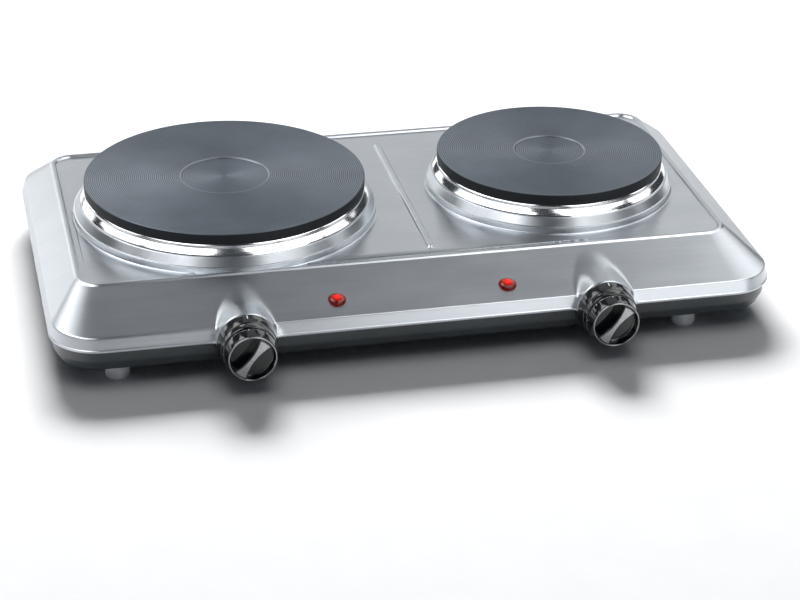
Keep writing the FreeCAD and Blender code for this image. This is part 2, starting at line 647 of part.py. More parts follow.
def bezel(knob_x):
    """The fixed bezel: a stepped ring whose spigot snaps into the housing's round opening."""
    spigot = BOSS_HOLE_RADIUS - SPIGOT_CLEARANCE
    inside = spigot - SPIGOT_WALL
    hub_hole = HUB_RADIUS + HUB_CLEARANCE
    ring_part = facing([(inside, -SPIGOT_DEPTH), (spigot, -SPIGOT_DEPTH), (spigot, 0),
                        (BEZEL_RADIUS, 0), (BEZEL_STEP_RADIUS, BEZEL_SKIRT_LENGTH),
                        (BEZEL_NOSE_RADIUS, BEZEL_SKIRT_LENGTH), (BEZEL_FRONT_RADIUS, BEZEL_LENGTH),
                        (hub_hole, BEZEL_LENGTH), (hub_hole, BEZEL_LENGTH - BEZEL_WALL),
                        (inside, BEZEL_LENGTH - BEZEL_WALL)], knob_x, BOSS_Y)
    snap_y = BOSS_Y + BASE_WALL + SPLIT_GAP + SNAP_GAP + SNAP_LENGTH / 2
    snaps = [box(SNAP_PROUD + SPIGOT_WALL / 2, SNAP_LENGTH, SNAP_WIDTH,
                 knob_x + side * (spigot + SNAP_PROUD / 2 - SPIGOT_WALL / 4), snap_y,
                 KNOB_Z - SNAP_WIDTH / 2) for side in (-1, 1)]
    return fuse(ring_part, *snaps)


def grip_outline(margin):
    """The grip seen from the front: a bar that is narrow in the middle and wide at its ends."""
    end = GRIP_END / 2 - margin
    waist = GRIP_WAIST / 2 - margin
    reach = KNOB_FACE_RADIUS - RIM_WIDTH - margin
    corners = [Vector(end, reach, 0), Vector(-end, reach, 0),
               Vector(-end, -reach, 0), Vector(end, -reach, 0)]
    return Part.Wire([
        Part.LineSegment(corners[0], corners[1]).toShape(),
        Part.Arc(corners[1], Vector(-waist, 0, 0), corners[2]).toShape(),
        Part.LineSegment(corners[2], corners[3]).toShape(),
        Part.Arc(corners[3], Vector(waist, 0, 0), corners[0]).toShape(),
    ])


def grip_bar(knob_x, margin, back_y, length):
    """The grip's outline drawn forwards from back_y and turned to its rest angle."""
    bar = Part.Face(grip_outline(margin)).extrude(Vector(0, 0, length))
    bar.rotate(Vector(0, 0, 0), UP, -GRIP_ANGLE)
    bar.rotate(Vector(0, 0, 0), Vector(1, 0, 0), 90)
    bar.translate(Vector(knob_x, back_y, KNOB_Z))
    return bar


def knob(knob_x):
    """The moulded knob: a drum with a dished face, a grip across the dish and a keyed hub."""
    dish = KNOB_FACE_RADIUS - RIM_WIDTH
    skirt_inside = KNOB_RADIUS - KNOB_WALL
    web = KNOB_LENGTH - DISH_DEPTH - KNOB_WALL
    drum = facing([(0, 0), (KNOB_RADIUS, 0), (KNOB_FACE_RADIUS, KNOB_LENGTH),
                   (0, KNOB_LENGTH)], knob_x, KNOB_Y)
    dish_cut = facing([(0, KNOB_LENGTH - DISH_DEPTH), (dish - KNOB_EDGE, KNOB_LENGTH - DISH_DEPTH),
                       (dish, KNOB_LENGTH - DISH_DEPTH + KNOB_EDGE), (dish, KNOB_LENGTH),
                       (0, KNOB_LENGTH)], knob_x, KNOB_Y)
    rebate = facing([(dish, KNOB_LENGTH - RIM_DEPTH), (KNOB_RADIUS, KNOB_LENGTH - RIM_DEPTH),
                     (KNOB_RADIUS, KNOB_LENGTH), (dish, KNOB_LENGTH)], knob_x, KNOB_Y)
    hollow = facing([(HUB_RADIUS, 0), (skirt_inside, 0), (skirt_inside, web), (HUB_RADIUS, web)],
                    knob_x, KNOB_Y)
    root = web + KNOB_WALL / 2
    grip = grip_bar(knob_x, 0, KNOB_Y - root, KNOB_LENGTH + GRIP_PROUD - root)
    within_dish = cylinder(dish, 2 * KNOB_LENGTH, Vector(knob_x, KNOB_Y, KNOB_Z), FORWARD)
    hub = cylinder(HUB_RADIUS, HUB_LENGTH + web, Vector(knob_x, KNOB_Y + HUB_LENGTH, KNOB_Z), FORWARD)
    body = drum.cut([dish_cut, rebate, hollow])
    body = fuse(body, grip.common(within_dish), hub)
    inlay_pocket = grip_bar(knob_x, INLAY_MARGIN, GRIP_Y + INLAY_DEPTH, INLAY_DEPTH)
    key_hole = keyed_bar(knob_x, SHAFT_RADIUS + SHAFT_KEY_CLEARANCE,
                         SHAFT_FLAT + SHAFT_KEY_CLEARANCE, SHAFT_IN_KNOB)
    return body.cut([inlay_pocket, key_hole])


def keyed_bar(knob_x, radius, flat, length):
    """The D-shaped end of the shaft, from the hub's back forwards."""
    start = KNOB_Y + HUB_LENGTH
    bar = cylinder(radius, length, Vector(knob_x, start, KNOB_Z), FORWARD)
    waste = Part.makeBox(4 * radius, length, 2 * radius,
                         Vector(knob_x - 2 * radius, start - length, KNOB_Z + flat))
    return bar.cut(waste)


def knob_rim(knob_x):
    """The thin bright ring set into the front edge of the knob."""
    dish = KNOB_FACE_RADIUS - RIM_WIDTH
    return facing([(dish, KNOB_LENGTH - RIM_DEPTH), (KNOB_FACE_RADIUS, KNOB_LENGTH - RIM_DEPTH),
                   (KNOB_FACE_RADIUS - RIM_WIDTH / 4, KNOB_LENGTH),
                   (dish + RIM_WIDTH / 4, KNOB_LENGTH)], knob_x, KNOB_Y)


def knob_inlay(knob_x):
    margin = INLAY_MARGIN + INLAY_CLEARANCE
    return grip_bar(knob_x, margin, GRIP_Y + INLAY_DEPTH, INLAY_DEPTH)


def thermostat_shaft(knob_x):
    """The shaft that the knob turns: keyed in the knob, running in the thermostat's neck."""
    front = KNOB_Y + HUB_LENGTH
    back = THERMOSTAT_Y + THERMOSTAT_SHAFT_DEPTH - SHAFT_END_CLEARANCE
    round_part = cylinder(SHAFT_RADIUS, back - front, Vector(knob_x, back, KNOB_Z), FORWARD)
    return fuse(round_part, keyed_bar(knob_x, SHAFT_RADIUS, SHAFT_FLAT,
                                      SHAFT_IN_KNOB - SHAFT_KEY_CLEARANCE))


def thermostat(knob_x):
    """The regulator: a ceramic block with a threaded neck in front."""
    size_x, size_y, size_z = THERMOSTAT_SIZE
    block = box(size_x, size_y, size_z, knob_x, THERMOSTAT_Y + size_y / 2, KNOB_Z - size_z / 2)
    neck = cylinder(NECK_RADIUS, NECK_LENGTH, Vector(knob_x, THERMOSTAT_Y, KNOB_Z), FORWARD)
    bore = cylinder(SHAFT_RADIUS + SHAFT_RUNNING_CLEARANCE, NECK_LENGTH + THERMOSTAT_SHAFT_DEPTH,
                    Vector(knob_x, THERMOSTAT_Y + THERMOSTAT_SHAFT_DEPTH, KNOB_Z), FORWARD)
    return fuse(block, neck).cut(bore)


def bracket_foot_y():
    return THERMOSTAT_Y + THERMOSTAT_SIZE[1]


def bracket_screw_places(knob_x):
    reach = THERMOSTAT_SIZE[0] / 2 + BRACKET_SIDE - SMALL_SCREW_HEAD_RADIUS
    y = bracket_foot_y() + BRACKET_TAIL / 2
    return [(knob_x - reach, y), (knob_x + reach, y)]


def thermostat_bracket(knob_x):
    """An angle of sheet steel: an upright that holds the neck and a foot under the regulator."""
    width = THERMOSTAT_SIZE[0] + 2 * BRACKET_SIDE
    top = KNOB_Z + NECK_RADIUS + BRACKET_TOP
    back = bracket_foot_y() + BRACKET_TAIL
    upright = box(width, BRACKET_WALL, top - FLOOR_Z, knob_x, THERMOSTAT_Y - BRACKET_WALL / 2, FLOOR_Z)
    foot_length = back - THERMOSTAT_Y + BRACKET_WALL
    bracket_foot = box(width, foot_length, BRACKET_WALL, knob_x, back - foot_length / 2, FLOOR_Z)
    cuts = [cylinder(NECK_RADIUS + NECK_CLEARANCE, 3 * BRACKET_WALL,
                     Vector(knob_x, THERMOSTAT_Y + BRACKET_WALL, KNOB_Z), FORWARD)]
    for x, y in bracket_screw_places(knob_x):
        cuts.append(cylinder(SMALL_SCREW_RADIUS + THREAD_CLEARANCE, BRACKET_WALL, Vector(x, y, FLOOR_Z)))
    return fuse(upright, bracket_foot).cut(cuts)


def neck_nut(knob_x):
    seat = Vector(knob_x, THERMOSTAT_Y - BRACKET_WALL, KNOB_Z)
    return nut(NECK_NUT_FLATS, NECK_NUT_HEIGHT, NECK_RADIUS + THREAD_CLEARANCE, seat, FORWARD)


def blade_place(knob_x, side):
    """Where a terminal tail ends: the middle of its end face."""
    size_y, size_z = THERMOSTAT_SIZE[1:]
    return Vector(knob_x + side * BLADE_PITCH / 2, THERMOSTAT_Y + size_y + BLADE_TAIL,
                  KNOB_Z + size_z / 2 + BLADE_WALL / 2)


def contact_blades(knob_x):
    """Spring strips on top of the regulator; their tails stand out behind as terminals."""
    top = KNOB_Z + THERMOSTAT_SIZE[2] / 2
    blades = []
    for side in (-1, 1):
        end = blade_place(knob_x, side)
        length = BLADE_SEAT + BLADE_TAIL
        blades.append(box(BLADE_WIDTH, length, BLADE_WALL, end.x, end.y - length / 2, top))
    return blades


# ---- lamps -------------------------------------------------------------------------------------
def lamp_lens():
    """A red cap: domed head, flange and hollow barrel, drawn about its own axis."""
    angles = [k * math.pi / 2 / LENS_DOME_STEPS for k in range(LENS_DOME_STEPS)]
    dome = [(LENS_RADIUS * math.cos(a), LENS_FLANGE + LENS_DOME * math.sin(a)) for a in angles]
    head = turned([(0, 0), (LENS_RADIUS, 0)] + dome + [(0, LENS_FLANGE + LENS_DOME)],
                  Vector(0, 0, 0))
    barrel = cylinder(LENS_BARREL_RADIUS, LENS_BARREL_LENGTH, Vector(0, 0, -LENS_BARREL_LENGTH))
    bore = cylinder(LENS_BORE_RADIUS, LENS_BARREL_LENGTH, Vector(0, 0, -LENS_BARREL_LENGTH))
    return fuse(head, barrel).cut(bore)


def lamp_tube():
    """The neon tube, held in the lens barrel against its closed end."""
    length = LAMP_TUBE_LENGTH
    glass = cylinder(LAMP_TUBE_RADIUS, length, Vector(0, 0, -length))
    collar_ring = cylinder(LENS_BORE_RADIUS - COMPOUND_CLEARANCE, LENS_FLANGE,
                           Vector(0, 0, -LENS_BARREL_LENGTH))
    return fuse(glass, collar_ring)


def lamp_clip():
    """The spring washer that grips the barrel under the cover."""
    bottom = Vector(0, 0, -SKIRT_WALL - CLIP_WALL)
    return cylinder(CLIP_RADIUS, CLIP_WALL, bottom).cut(
        cylinder(LENS_BARREL_RADIUS + CLIP_CLEARANCE, CLIP_WALL, bottom))


# ---- mains connection and wiring ----------------------------------------------------------------
def gland_z():
    return (BASE_Z + COVER_Z - GLAND_PAD_TOP) / 2


def cable_gland():
    """The bush in the base's back wall that the mains lead passes through."""
    snap = GLAND_RADIUS + GLAND_SNAP
    outline = [(GLAND_BORE_RADIUS, -BASE_WALL - GLAND_INSIDE), (snap, -BASE_WALL - GLAND_INSIDE),
               (snap, -BASE_WALL), (GLAND_RADIUS, -BASE_WALL), (GLAND_RADIUS, 0),
               (GLAND_FLANGE_RADIUS, 0), (GLAND_FLANGE_RADIUS - GLAND_EDGE, GLAND_FLANGE),
               (GLAND_BORE_RADIUS, GLAND_FLANGE)]
    return turned(outline, Vector(GLAND_X, GLAND_PAD_Y, gland_z()), BACK)


def mains_block_y():
    return BASE_BACK_Y - BASE_WALL - MAINS_BLOCK_GAP - MAINS_BLOCK_SIZE[1] / 2


def pole_x(k):
    return GLAND_X + (k - (MAINS_POLES - 1) / 2) * MAINS_POLE_PITCH


def mains_block():
    """The moulded connector on the base floor, with a wire hole through each pole."""
    size_x, size_y, size_z = MAINS_BLOCK_SIZE
    block = box(size_x, size_y, size_z, GLAND_X, mains_block_y(), FLOOR_Z)
    cuts = []
    for k in range(MAINS_POLES):
        cuts.append(cylinder(WIRE_RADIUS + COMPOUND_CLEARANCE, size_y,
                             Vector(pole_x(k), mains_block_y() - size_y / 2, WIRE_Z), BACK))
        cuts.append(cylinder(MAINS_CLAMP_RADIUS + COMPOUND_CLEARANCE, MAINS_CLAMP_HEIGHT,
                             Vector(pole_x(k), mains_block_y(), FLOOR_Z + size_z - MAINS_CLAMP_HEIGHT)))
    return block.cut(cuts)


def mains_clamp_screws():
    top = FLOOR_Z + MAINS_BLOCK_SIZE[2]
    screws = []
    for k in range(MAINS_POLES):
        body = cylinder(MAINS_CLAMP_RADIUS, MAINS_CLAMP_HEIGHT,
                        Vector(pole_x(k), mains_block_y(), top - MAINS_CLAMP_HEIGHT))
        slot = box(2 * MAINS_CLAMP_RADIUS, SCREW_SLOT, SCREW_SLOT, pole_x(k), mains_block_y(),
                   top - SCREW_SLOT)
        screws.append(body.cut(slot))
    return screws


def earth_place():
    return GLAND_X - EARTH_OFFSET, mains_block_y()


def earth_tag():
    """The ring tag of the earth wire, on the base floor under its nut."""
    x, y = earth_place()
    washer = cylinder(EARTH_TAG_RADIUS, EARTH_TAG_WALL, Vector(x, y, FLOOR_Z))
    return washer.cut(cylinder(SCREW_RADIUS + SCREW_HOLE_CLEARANCE, EARTH_TAG_WALL, Vector(x, y, FLOOR_Z)))


def wire(points):
    """A round wire along straight runs joined by arcs."""
    edges = []
    start = points[0]
    for before, corner, after in zip(points, points[1:], points[2:]):
        incoming = (corner - before).normalize()
        outgoing = (after - corner).normalize()
        turn = incoming.getAngle(outgoing)
        trim = WIRE_BEND * math.tan(turn / 2)
        first, last = corner - incoming * trim, corner + outgoing * trim
        inward = (outgoing - incoming).normalize()
        middle = corner + inward * (WIRE_BEND / math.cos(turn / 2) - WIRE_BEND)
        edges.append(Part.LineSegment(start, first).toShape())
        edges.append(Part.Arc(first, middle, last).toShape())
        start = last
    edges.append(Part.LineSegment(start, points[-1]).toShape())
    path = Part.Wire(edges)
    section = Part.Wire([Part.Circle(points[0], points[1] - points[0], WIRE_RADIUS).toShape()])
    return path.makePipeShell([section], True, False)


def pin_end(centre_x, k):
    tip = SHIELD_Z - TERMINAL_BLOCK_SIZE[2] - TERMINAL_PIN_SIZE[2]
    return Vector(pin_x(centre_x, k), terminal_y(), tip)


def level(point, z):
    return Vector(point.x, point.y, z)


def tail_run(knob_x, side):
    """The first points of a wire on a regulator's tail: straight back, then down."""
    tail = blade_place(knob_x, side)
    clear = tail.y + 2 * WIRE_BEND
    return [tail, Vector(tail.x, clear, tail.z), Vector(tail.x, clear + 2 * WIRE_BEND, WIRE_Z)]


def pole_end(k):
    return Vector(pole_x(k), mains_block_y() - MAINS_BLOCK_SIZE[1] / 2, WIRE_Z)


def regulator_wire(knob_x, centre_x):
    """From a regulator's outer tail to the first pin of its plate."""
    pin = pin_end(centre_x, 0)
    return wire(tail_run(knob_x, -1)
                + [Vector(pin.x, pin.y - REGULATOR_TURN_GAP, WIRE_Z), level(pin, WIRE_Z), pin])


def left_live_wire(knob_x):
    """From the left regulator round behind the plates to the first pole."""
    pole = pole_end(0)
    lane_x = LARGE_PLATE_X + LIVE_LANE_OFFSET
    lane_y = pole.y - LIVE_LANE_GAP
    turn_y = terminal_y() - LIVE_TURN_GAP
    return wire(tail_run(knob_x, 1)
                + [Vector(lane_x, turn_y, WIRE_Z), Vector(lane_x, lane_y, WIRE_Z),
                   Vector(pole.x, lane_y, WIRE_Z), pole])


def right_live_wire(knob_x):
    pole = pole_end(MAINS_POLES - 1)
    return wire(tail_run(knob_x, 1) + [Vector(pole.x, terminal_y() - LIVE_TURN_GAP, WIRE_Z), pole])


def neutral_feed():
    """From the middle pole to the last pin of the small plate."""
    pin = pin_end(SMALL_PLATE_X, TERMINAL_PINS - 1)
    pole = pole_end(1)
    lane_y = pole.y - NEUTRAL_LANE_GAP
    return wire([pin, level(pin, WIRE_Z), Vector(pin.x, lane_y, WIRE_Z),
                 Vector(pole.x, lane_y, WIRE_Z), pole])


def neutral_link():
    """From plate to plate."""
    small, large = pin_end(SMALL_PLATE_X, 2), pin_end(LARGE_PLATE_X, 2)
    lane_y = small.y + LINK_LANE_GAP
    return wire([small, level(small, LINK_WIRE_Z), Vector(small.x, lane_y, LINK_WIRE_Z),
                 Vector(large.x, lane_y, LINK_WIRE_Z), level(large, LINK_WIRE_Z), large])


def lamp_wire(lamp_x, centre_x):
    """The lamp's lead, from the end of its tube to the second pin of its plate."""
    pin = pin_end(centre_x, 1)
    tip = Part.Vertex(0, 0, -LAMP_TUBE_LENGTH)
    start = on_skirt(tip, lamp_x).Point
    along = Vector(0, math.sin(SKIRT_ANGLE), -math.cos(SKIRT_ANGLE))
    corner = start + along * ((start.z - LAMP_WIRE_Z) / math.cos(SKIRT_ANGLE))
    return wire([start, corner, Vector(pin.x, pin.y - LAMP_TURN_GAP, LAMP_WIRE_Z),
                 level(pin, LAMP_WIRE_Z), pin])


def build():
    export("top_cover", top_cover())
    export("base_pan", base_pan())
    for name, centre_x, radius, recess_radius in PLATES:
        export("plate_" + name, plate(centre_x, radius, recess_radius))
        export("trim_ring_" + name, trim_ring(centre_x, radius))
        export("heater_rings_" + name, *heater_rings(centre_x, radius))
        export("plate_shield_" + name, plate_shield(centre_x, radius))
        export("plate_stud_" + name, plate_stud(centre_x))
        export("clamp_bridge_" + name, clamp_bridge(centre_x, radius))
        export("plate_terminal_block_" + name, terminal_block(centre_x))
        export("plate_terminals_" + name,
               *[terminal_pin(centre_x, k, 0) for k in range(TERMINAL_PINS)])
    export("stud_nuts", *[nut(STUD_NUT_FLATS, STUD_NUT_HEIGHT, STUD_RADIUS + THREAD_CLEARANCE,
                              Vector(centre_x, PLATE_Y, BRIDGE_Z - STUD_NUT_HEIGHT))
                          for _, centre_x, _, _ in PLATES])
    for side, knob_x in KNOBS:
        export(side + "_knob_bezel", bezel(knob_x))
        export(side + "_knob", knob(knob_x))
        export(side + "_knob_rim", knob_rim(knob_x))
        export(side + "_knob_inlay", knob_inlay(knob_x))
        export(side + "_thermostat_shaft", thermostat_shaft(knob_x))
        export(side + "_thermostat_body", thermostat(knob_x))
        export(side + "_thermostat_bracket", thermostat_bracket(knob_x))
        export(side + "_contact_blades", *contact_blades(knob_x))
    export("thermostat_neck_nuts", *[neck_nut(knob_x) for _, knob_x in KNOBS])
    export("thermostat_screws", *[
        screw(SMALL_SCREW_RADIUS, SMALL_SCREW_LENGTH, SMALL_SCREW_HEAD_RADIUS, Vector(x, y, BASE_Z))
        for _, knob_x in KNOBS for x, y in bracket_screw_places(knob_x)])
    for side, lamp_x in LAMPS:
        export(side + "_lamp_lens", on_skirt(lamp_lens(), lamp_x))
        export(side + "_lamp_tube", on_skirt(lamp_tube(), lamp_x))
        export(side + "_lamp_clip", on_skirt(lamp_clip(), lamp_x))
    for name, place in zip(("front_left", "front_right", "back_left", "back_right"), foot_places()):
        export(name + "_foot", foot(*place))
    export("foot_screws", *[screw(SCREW_RADIUS, FOOT_FLOOR + BASE_WALL + SCREW_HEAD_HEIGHT + 1,
                                  SCREW_HEAD_RADIUS, Vector(x, y, FOOT_HEIGHT - FOOT_FLOOR))
                            for x, y in foot_places()])
    earth_nut = floor_nut(*earth_place(), FLOOR_Z + EARTH_TAG_WALL)
    export("floor_nuts", earth_nut, *[floor_nut(x, y, FLOOR_Z) for x, y in foot_places()])
    export("earth_tag", earth_tag())
    export("cover_posts", *[post(x, y) for x, y in post_places()])
    export("base_screws", *[screw(SCREW_RADIUS, SCREW_LENGTH, SCREW_HEAD_RADIUS, Vector(x, y, BASE_Z))
                            for x, y in post_places() + [earth_place()]])
    export("cable_gland", cable_gland())
    export("mains_terminal_block", mains_block())
    export("mains_clamp_screws", *mains_clamp_screws())
    (_, left_x), (_, right_x) = KNOBS
    (_, left_lamp), (_, right_lamp) = LAMPS
    export("regulator_wires", regulator_wire(left_x, LARGE_PLATE_X),
           regulator_wire(right_x, SMALL_PLATE_X))
    export("live_wires", left_live_wire(left_x), right_live_wire(right_x))
    export("neutral_wires", neutral_feed(), neutral_link())
    export("lamp_wires", lamp_wire(left_lamp, LARGE_PLATE_X), lamp_wire(right_lamp, SMALL_PLATE_X))


os.makedirs("parts", exist_ok=True)
build()
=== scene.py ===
"""Double cast-iron hot plate: a brushed steel cover on a black base pan, two plates and two knobs.

The sections follow the appliance as it is put together, from the base pan up. All sizes are in
metres: MM turns millimetres into them. X points right, Y to the back and Z up from the table.
"""
import bpy
import bmesh
import json
import math
import numpy as np
from mathutils import Matrix, Quaternion, Vector


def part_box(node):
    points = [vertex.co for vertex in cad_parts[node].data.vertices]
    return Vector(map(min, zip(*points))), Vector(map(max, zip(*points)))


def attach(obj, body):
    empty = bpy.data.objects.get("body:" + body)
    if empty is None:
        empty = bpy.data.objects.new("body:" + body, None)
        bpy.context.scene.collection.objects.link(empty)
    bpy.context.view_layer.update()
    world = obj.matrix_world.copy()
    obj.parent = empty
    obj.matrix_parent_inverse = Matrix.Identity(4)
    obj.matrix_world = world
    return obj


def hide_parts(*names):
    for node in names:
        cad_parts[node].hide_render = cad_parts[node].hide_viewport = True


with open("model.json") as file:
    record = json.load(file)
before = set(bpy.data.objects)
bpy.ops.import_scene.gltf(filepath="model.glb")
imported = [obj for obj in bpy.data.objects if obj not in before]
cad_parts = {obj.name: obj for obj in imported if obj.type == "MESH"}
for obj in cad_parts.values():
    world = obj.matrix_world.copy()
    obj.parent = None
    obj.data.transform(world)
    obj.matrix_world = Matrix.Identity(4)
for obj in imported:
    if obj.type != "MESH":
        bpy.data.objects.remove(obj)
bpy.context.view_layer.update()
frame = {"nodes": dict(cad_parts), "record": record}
MM = 0.001


# ---- table top ---------------------------------------------------------------------------------
# The surface that the hot plate stands on: a plain pale sheet of coated board, laid flat and far
# larger than the appliance, so that it fills the view. It isn't part of the object.
def add(tree, kind, inputs=None, **settings):
    """A new node: its settings, then its inputs, each a plain value or a socket to link."""
    made = tree.nodes.new(kind)
    for key, value in settings.items():
        setattr(made, key, value)
    for key, value in (inputs or {}).items():
        if isinstance(value, bpy.types.NodeSocket):
            tree.links.new(value, made.inputs[key])
        else:
            made.inputs[key].default_value = value
    return made


def new_finish(name, **sockets):
    """A material with its shader's own sockets set: base_color sets Base Color, and so on."""
    material = bpy.data.materials.new(name)
    material.use_nodes = True
    shader = material.node_tree.nodes["Principled BSDF"]
    titles = {title.lower().replace(" ", "_"): title for title in shader.inputs.keys()}
    for key, value in sockets.items():
        socket = shader.inputs[titles[key]]
        socket.default_value = (*value, 1.0) if socket.type == "RGBA" else value
    return material, material.node_tree, shader


def noise(tree, cells, low, high, detail=3.0, vector=None):
    """A noise brought between low and high, of so many cells per metre, or so many on each axis."""
    if vector is None:
        vector = add(tree, "ShaderNodeTexCoord").outputs["Object"]
    scale = cells if isinstance(cells, tuple) else (cells, cells, cells)
    placed = add(tree, "ShaderNodeMapping", {"Vector": vector, "Scale": scale})
    texture = add(tree, "ShaderNodeTexNoise",
                  {"Vector": placed.outputs["Vector"], "Scale": 1.0, "Detail": detail})
    # The texture's own values nearly all lie from 0.3 to 0.7.
    ranged = add(tree, "ShaderNodeMapRange", {"Value": texture.outputs["Fac"],
                                             "From Min": 0.3, "From Max": 0.7,
                                             "To Min": low, "To Max": high})
    return ranged.outputs["Result"]


def shade(tree, value, dark, light):
    """A colour between dark and light, each a colour or a socket, by a value from 0 to 1."""
    inputs = {"Factor": value}
    for key, colour in ((6, dark), (7, light)):
        inputs[key] = colour if isinstance(colour, bpy.types.NodeSocket) else (*colour, 1.0)
    return add(tree, "ShaderNodeMix", inputs, data_type="RGBA").outputs[2]


def bump(tree, shader, height, depth):
    """Let a height from 0 to 1 raise the surface by that depth."""
    made = add(tree, "ShaderNodeBump", {"Height": height, "Distance": depth, "Strength": 1.0})
    tree.links.new(made.outputs["Normal"], shader.inputs["Normal"])


def mesh_object(name, points, faces, material, sharp=math.radians(40)):
    """A mesh piece at the origin, smooth except along edges that turn more than the sharp angle."""
    mesh = bpy.data.meshes.new(name)
    mesh.from_pydata([tuple(map(float, p)) for p in points], [], faces)
    mesh.validate()
    mesh.materials.append(material)
    mesh.shade_smooth()
    mesh.set_sharp_from_angle(angle=sharp)
    piece = bpy.data.objects.new(name, mesh)
    bpy.context.scene.collection.objects.link(piece)
    return piece


TABLE_REACH = 4.0
table_finish, table_tree, table_shader = new_finish("table_coating", roughness=0.62,
                                                    specular_ior_level=0.2)
table_tree.links.new(shade(table_tree, noise(table_tree, 30, 0, 1),
                           (0.86, 0.86, 0.87), (0.88, 0.88, 0.89)),
                     table_shader.inputs["Base Color"])
table = mesh_object("table", [(-TABLE_REACH, -TABLE_REACH, 0), (TABLE_REACH, -TABLE_REACH, 0),
                              (TABLE_REACH, TABLE_REACH, 0), (-TABLE_REACH, TABLE_REACH, 0)],
                    [(0, 1, 2, 3)], table_finish)


# ---- camera and lamps ----------------------------------------------------------------------------
# A long lens in front of the left side, above the appliance, and a plain studio round it. Two soft
# lamps light the table and the dull pieces. The others are pale cards that only the bright metal and
# the gloss mirror: a screen behind, boxes and cards at the sides and one low in front.
CAMERA_PLACE = Vector((-308.9, -1403.9, 713.4)) * MM
CAMERA_AIM = Vector((-21.4, -138.9, 50.0)) * MM
CAMERA_LENS = 105.38
CAMERA_ROLL = math.radians(0.74)
SOFT_BOXES = [
    # name, place, aim, width, height, radiance, what it lights
    ("back_key", (0.25, 3.0, 2.05), (0, 0, 0), 1.9, 1.2, 40.0, "floor"),
    ("overhead_fill", (0.0, -0.2, 2.4), (0, 0, 0), 1.6, 1.6, 1.2, "floor"),
    ("back_screen", (0.61, 2.0, 1.0), (0.1, 0, 0.1), 1.78, 1.0, 1.0, "steel"),
    ("back_left_card", (-1.40, 1.9, 0.45), (-0.2, 0, 0), 1.1, 0.6, 2.1, "steel"),
    ("rim_strip", (-0.42, 2.0, 1.05), (-0.2, 0, 0.05), 0.42, 0.9, 2.7, "steel"),
    ("top_left_card", (-0.95, 0.80, 1.5), (-0.22, -0.11, 0.04), 0.7, 0.8, 2.6, "steel"),
    ("right_corner_card", (1.36, 0.82, 0.95), (0.2, -0.1, 0.04), 0.6, 0.7, 1.1, "steel"),
    ("top_card", (0.55, 0.95, 1.6), (0.05, -0.1, 0.04), 1.8, 0.8, 0.36, "steel"),
    ("top_right_card", (1.30, 0.95, 1.55), (0.2, -0.1, 0.04), 0.9, 0.8, 1.10, "steel"),
    ("left_box", (-0.92, -0.22, 1.25), (-0.05, 0.0, 0.05), 1.7, 0.8, 3.2, "steel"),
    ("right_box", (0.68, -0.56, 1.27), (0.05, 0.0, 0.05), 1.3, 0.8, 3.2, "steel"),
    ("left_side_card", (-1.25, 0.35, 0.92), (-0.1, 0, 0.05), 0.9, 0.7, 1.95, "steel"),
    ("right_side_card", (1.35, 0.08, 0.85), (0.1, 0, 0.05), 0.6, 0.7, 1.95, "steel"),
    ("left_low_card", (-1.45, -1.00, 0.80), (-0.05, 0.0, 0.05), 1.2, 0.7, 0.8, "steel"),
    ("right_low_card", (1.05, -1.60, 0.85), (0.05, 0.0, 0.05), 1.2, 0.7, 0.8, "steel"),
    ("front_card", (1.30, -2.1, 0.12), (0.1, 0, 0.02), 2.05, 0.6, 3.0, "steel"),
]
WORLD_GREY = (0.046, 0.053, 0.061)

camera = bpy.data.objects.new("camera", bpy.data.cameras.new("camera"))
camera.data.lens = CAMERA_LENS
camera.data.clip_end = 30.0
camera.location = CAMERA_PLACE
camera.rotation_mode = "QUATERNION"
aimed = (CAMERA_AIM - CAMERA_PLACE).to_track_quat("-Z", "Y")
camera.rotation_quaternion = aimed @ Quaternion((0, 0, 1), CAMERA_ROLL)
bpy.context.scene.collection.objects.link(camera)
bpy.context.scene.camera = camera
for name, place, aim, width, height, radiance, lights in SOFT_BOXES:
    lamp = bpy.data.lights.new(name, "AREA")
    lamp.shape = "RECTANGLE"
    lamp.size = width
    lamp.size_y = height
    lamp.energy = radiance * math.pi * width * height
    box = bpy.data.objects.new(name, lamp)
    box.location = place
    box.visible_camera = False
    box.visible_glossy = lights == "steel"
    box.visible_diffuse = lights == "floor"
    box.rotation_mode = "QUATERNION"
    box.rotation_quaternion = (Vector(aim) - Vector(place)).to_track_quat("-Z", "Y")
    bpy.context.scene.collection.objects.link(box)
world = bpy.data.worlds.new("studio")
world.use_nodes = True
world.node_tree.nodes["Background"].inputs["Color"].default_value = (*WORLD_GREY, 1.0)
bpy.context.scene.world = world
bpy.context.scene.view_settings.view_transform = "Standard"


# ---- base pan ------------------------------------------------------------------------------------
# The deep-drawn tray that closes the appliance from below: enamelled sheet steel with a satin
# black coat. Its wall slips up inside the cover, and it bulges forwards under each knob.
def rounded(corners, steps=5):
    """An open outline through (a, b, fillet) corners, each fillet an arc of that many steps."""
    line = [Vector(corners[0][:2])]
    for k in range(1, len(corners) - 1):
        before, here, after = (Vector(corners[k + j][:2]) for j in (-1, 0, 1))
        fillet = corners[k][2] if len(corners[k]) > 2 else 0
        if not fillet:
            line.append(here)
            continue
        into, out = (here - before).normalized(), (after - here).normalized()
        turn = into.angle(out)
        reach = fillet * math.tan(turn / 2)
        start = here - into * reach
        side = 1 if into.x * out.y - into.y * out.x > 0 else -1
        middle = start + Vector((-into.y, into.x)) * fillet * side
        for j in range(steps + 1):
            swing = side * turn * j / steps
            arm = start - middle
            line.append(middle + Vector((arm.x * math.cos(swing) - arm.y * math.sin(swing),
                                         arm.x * math.sin(swing) + arm.y * math.cos(swing))))
    line.append(Vector(corners[-1][:2]))
    return [(p.x, p.y) for p in line]


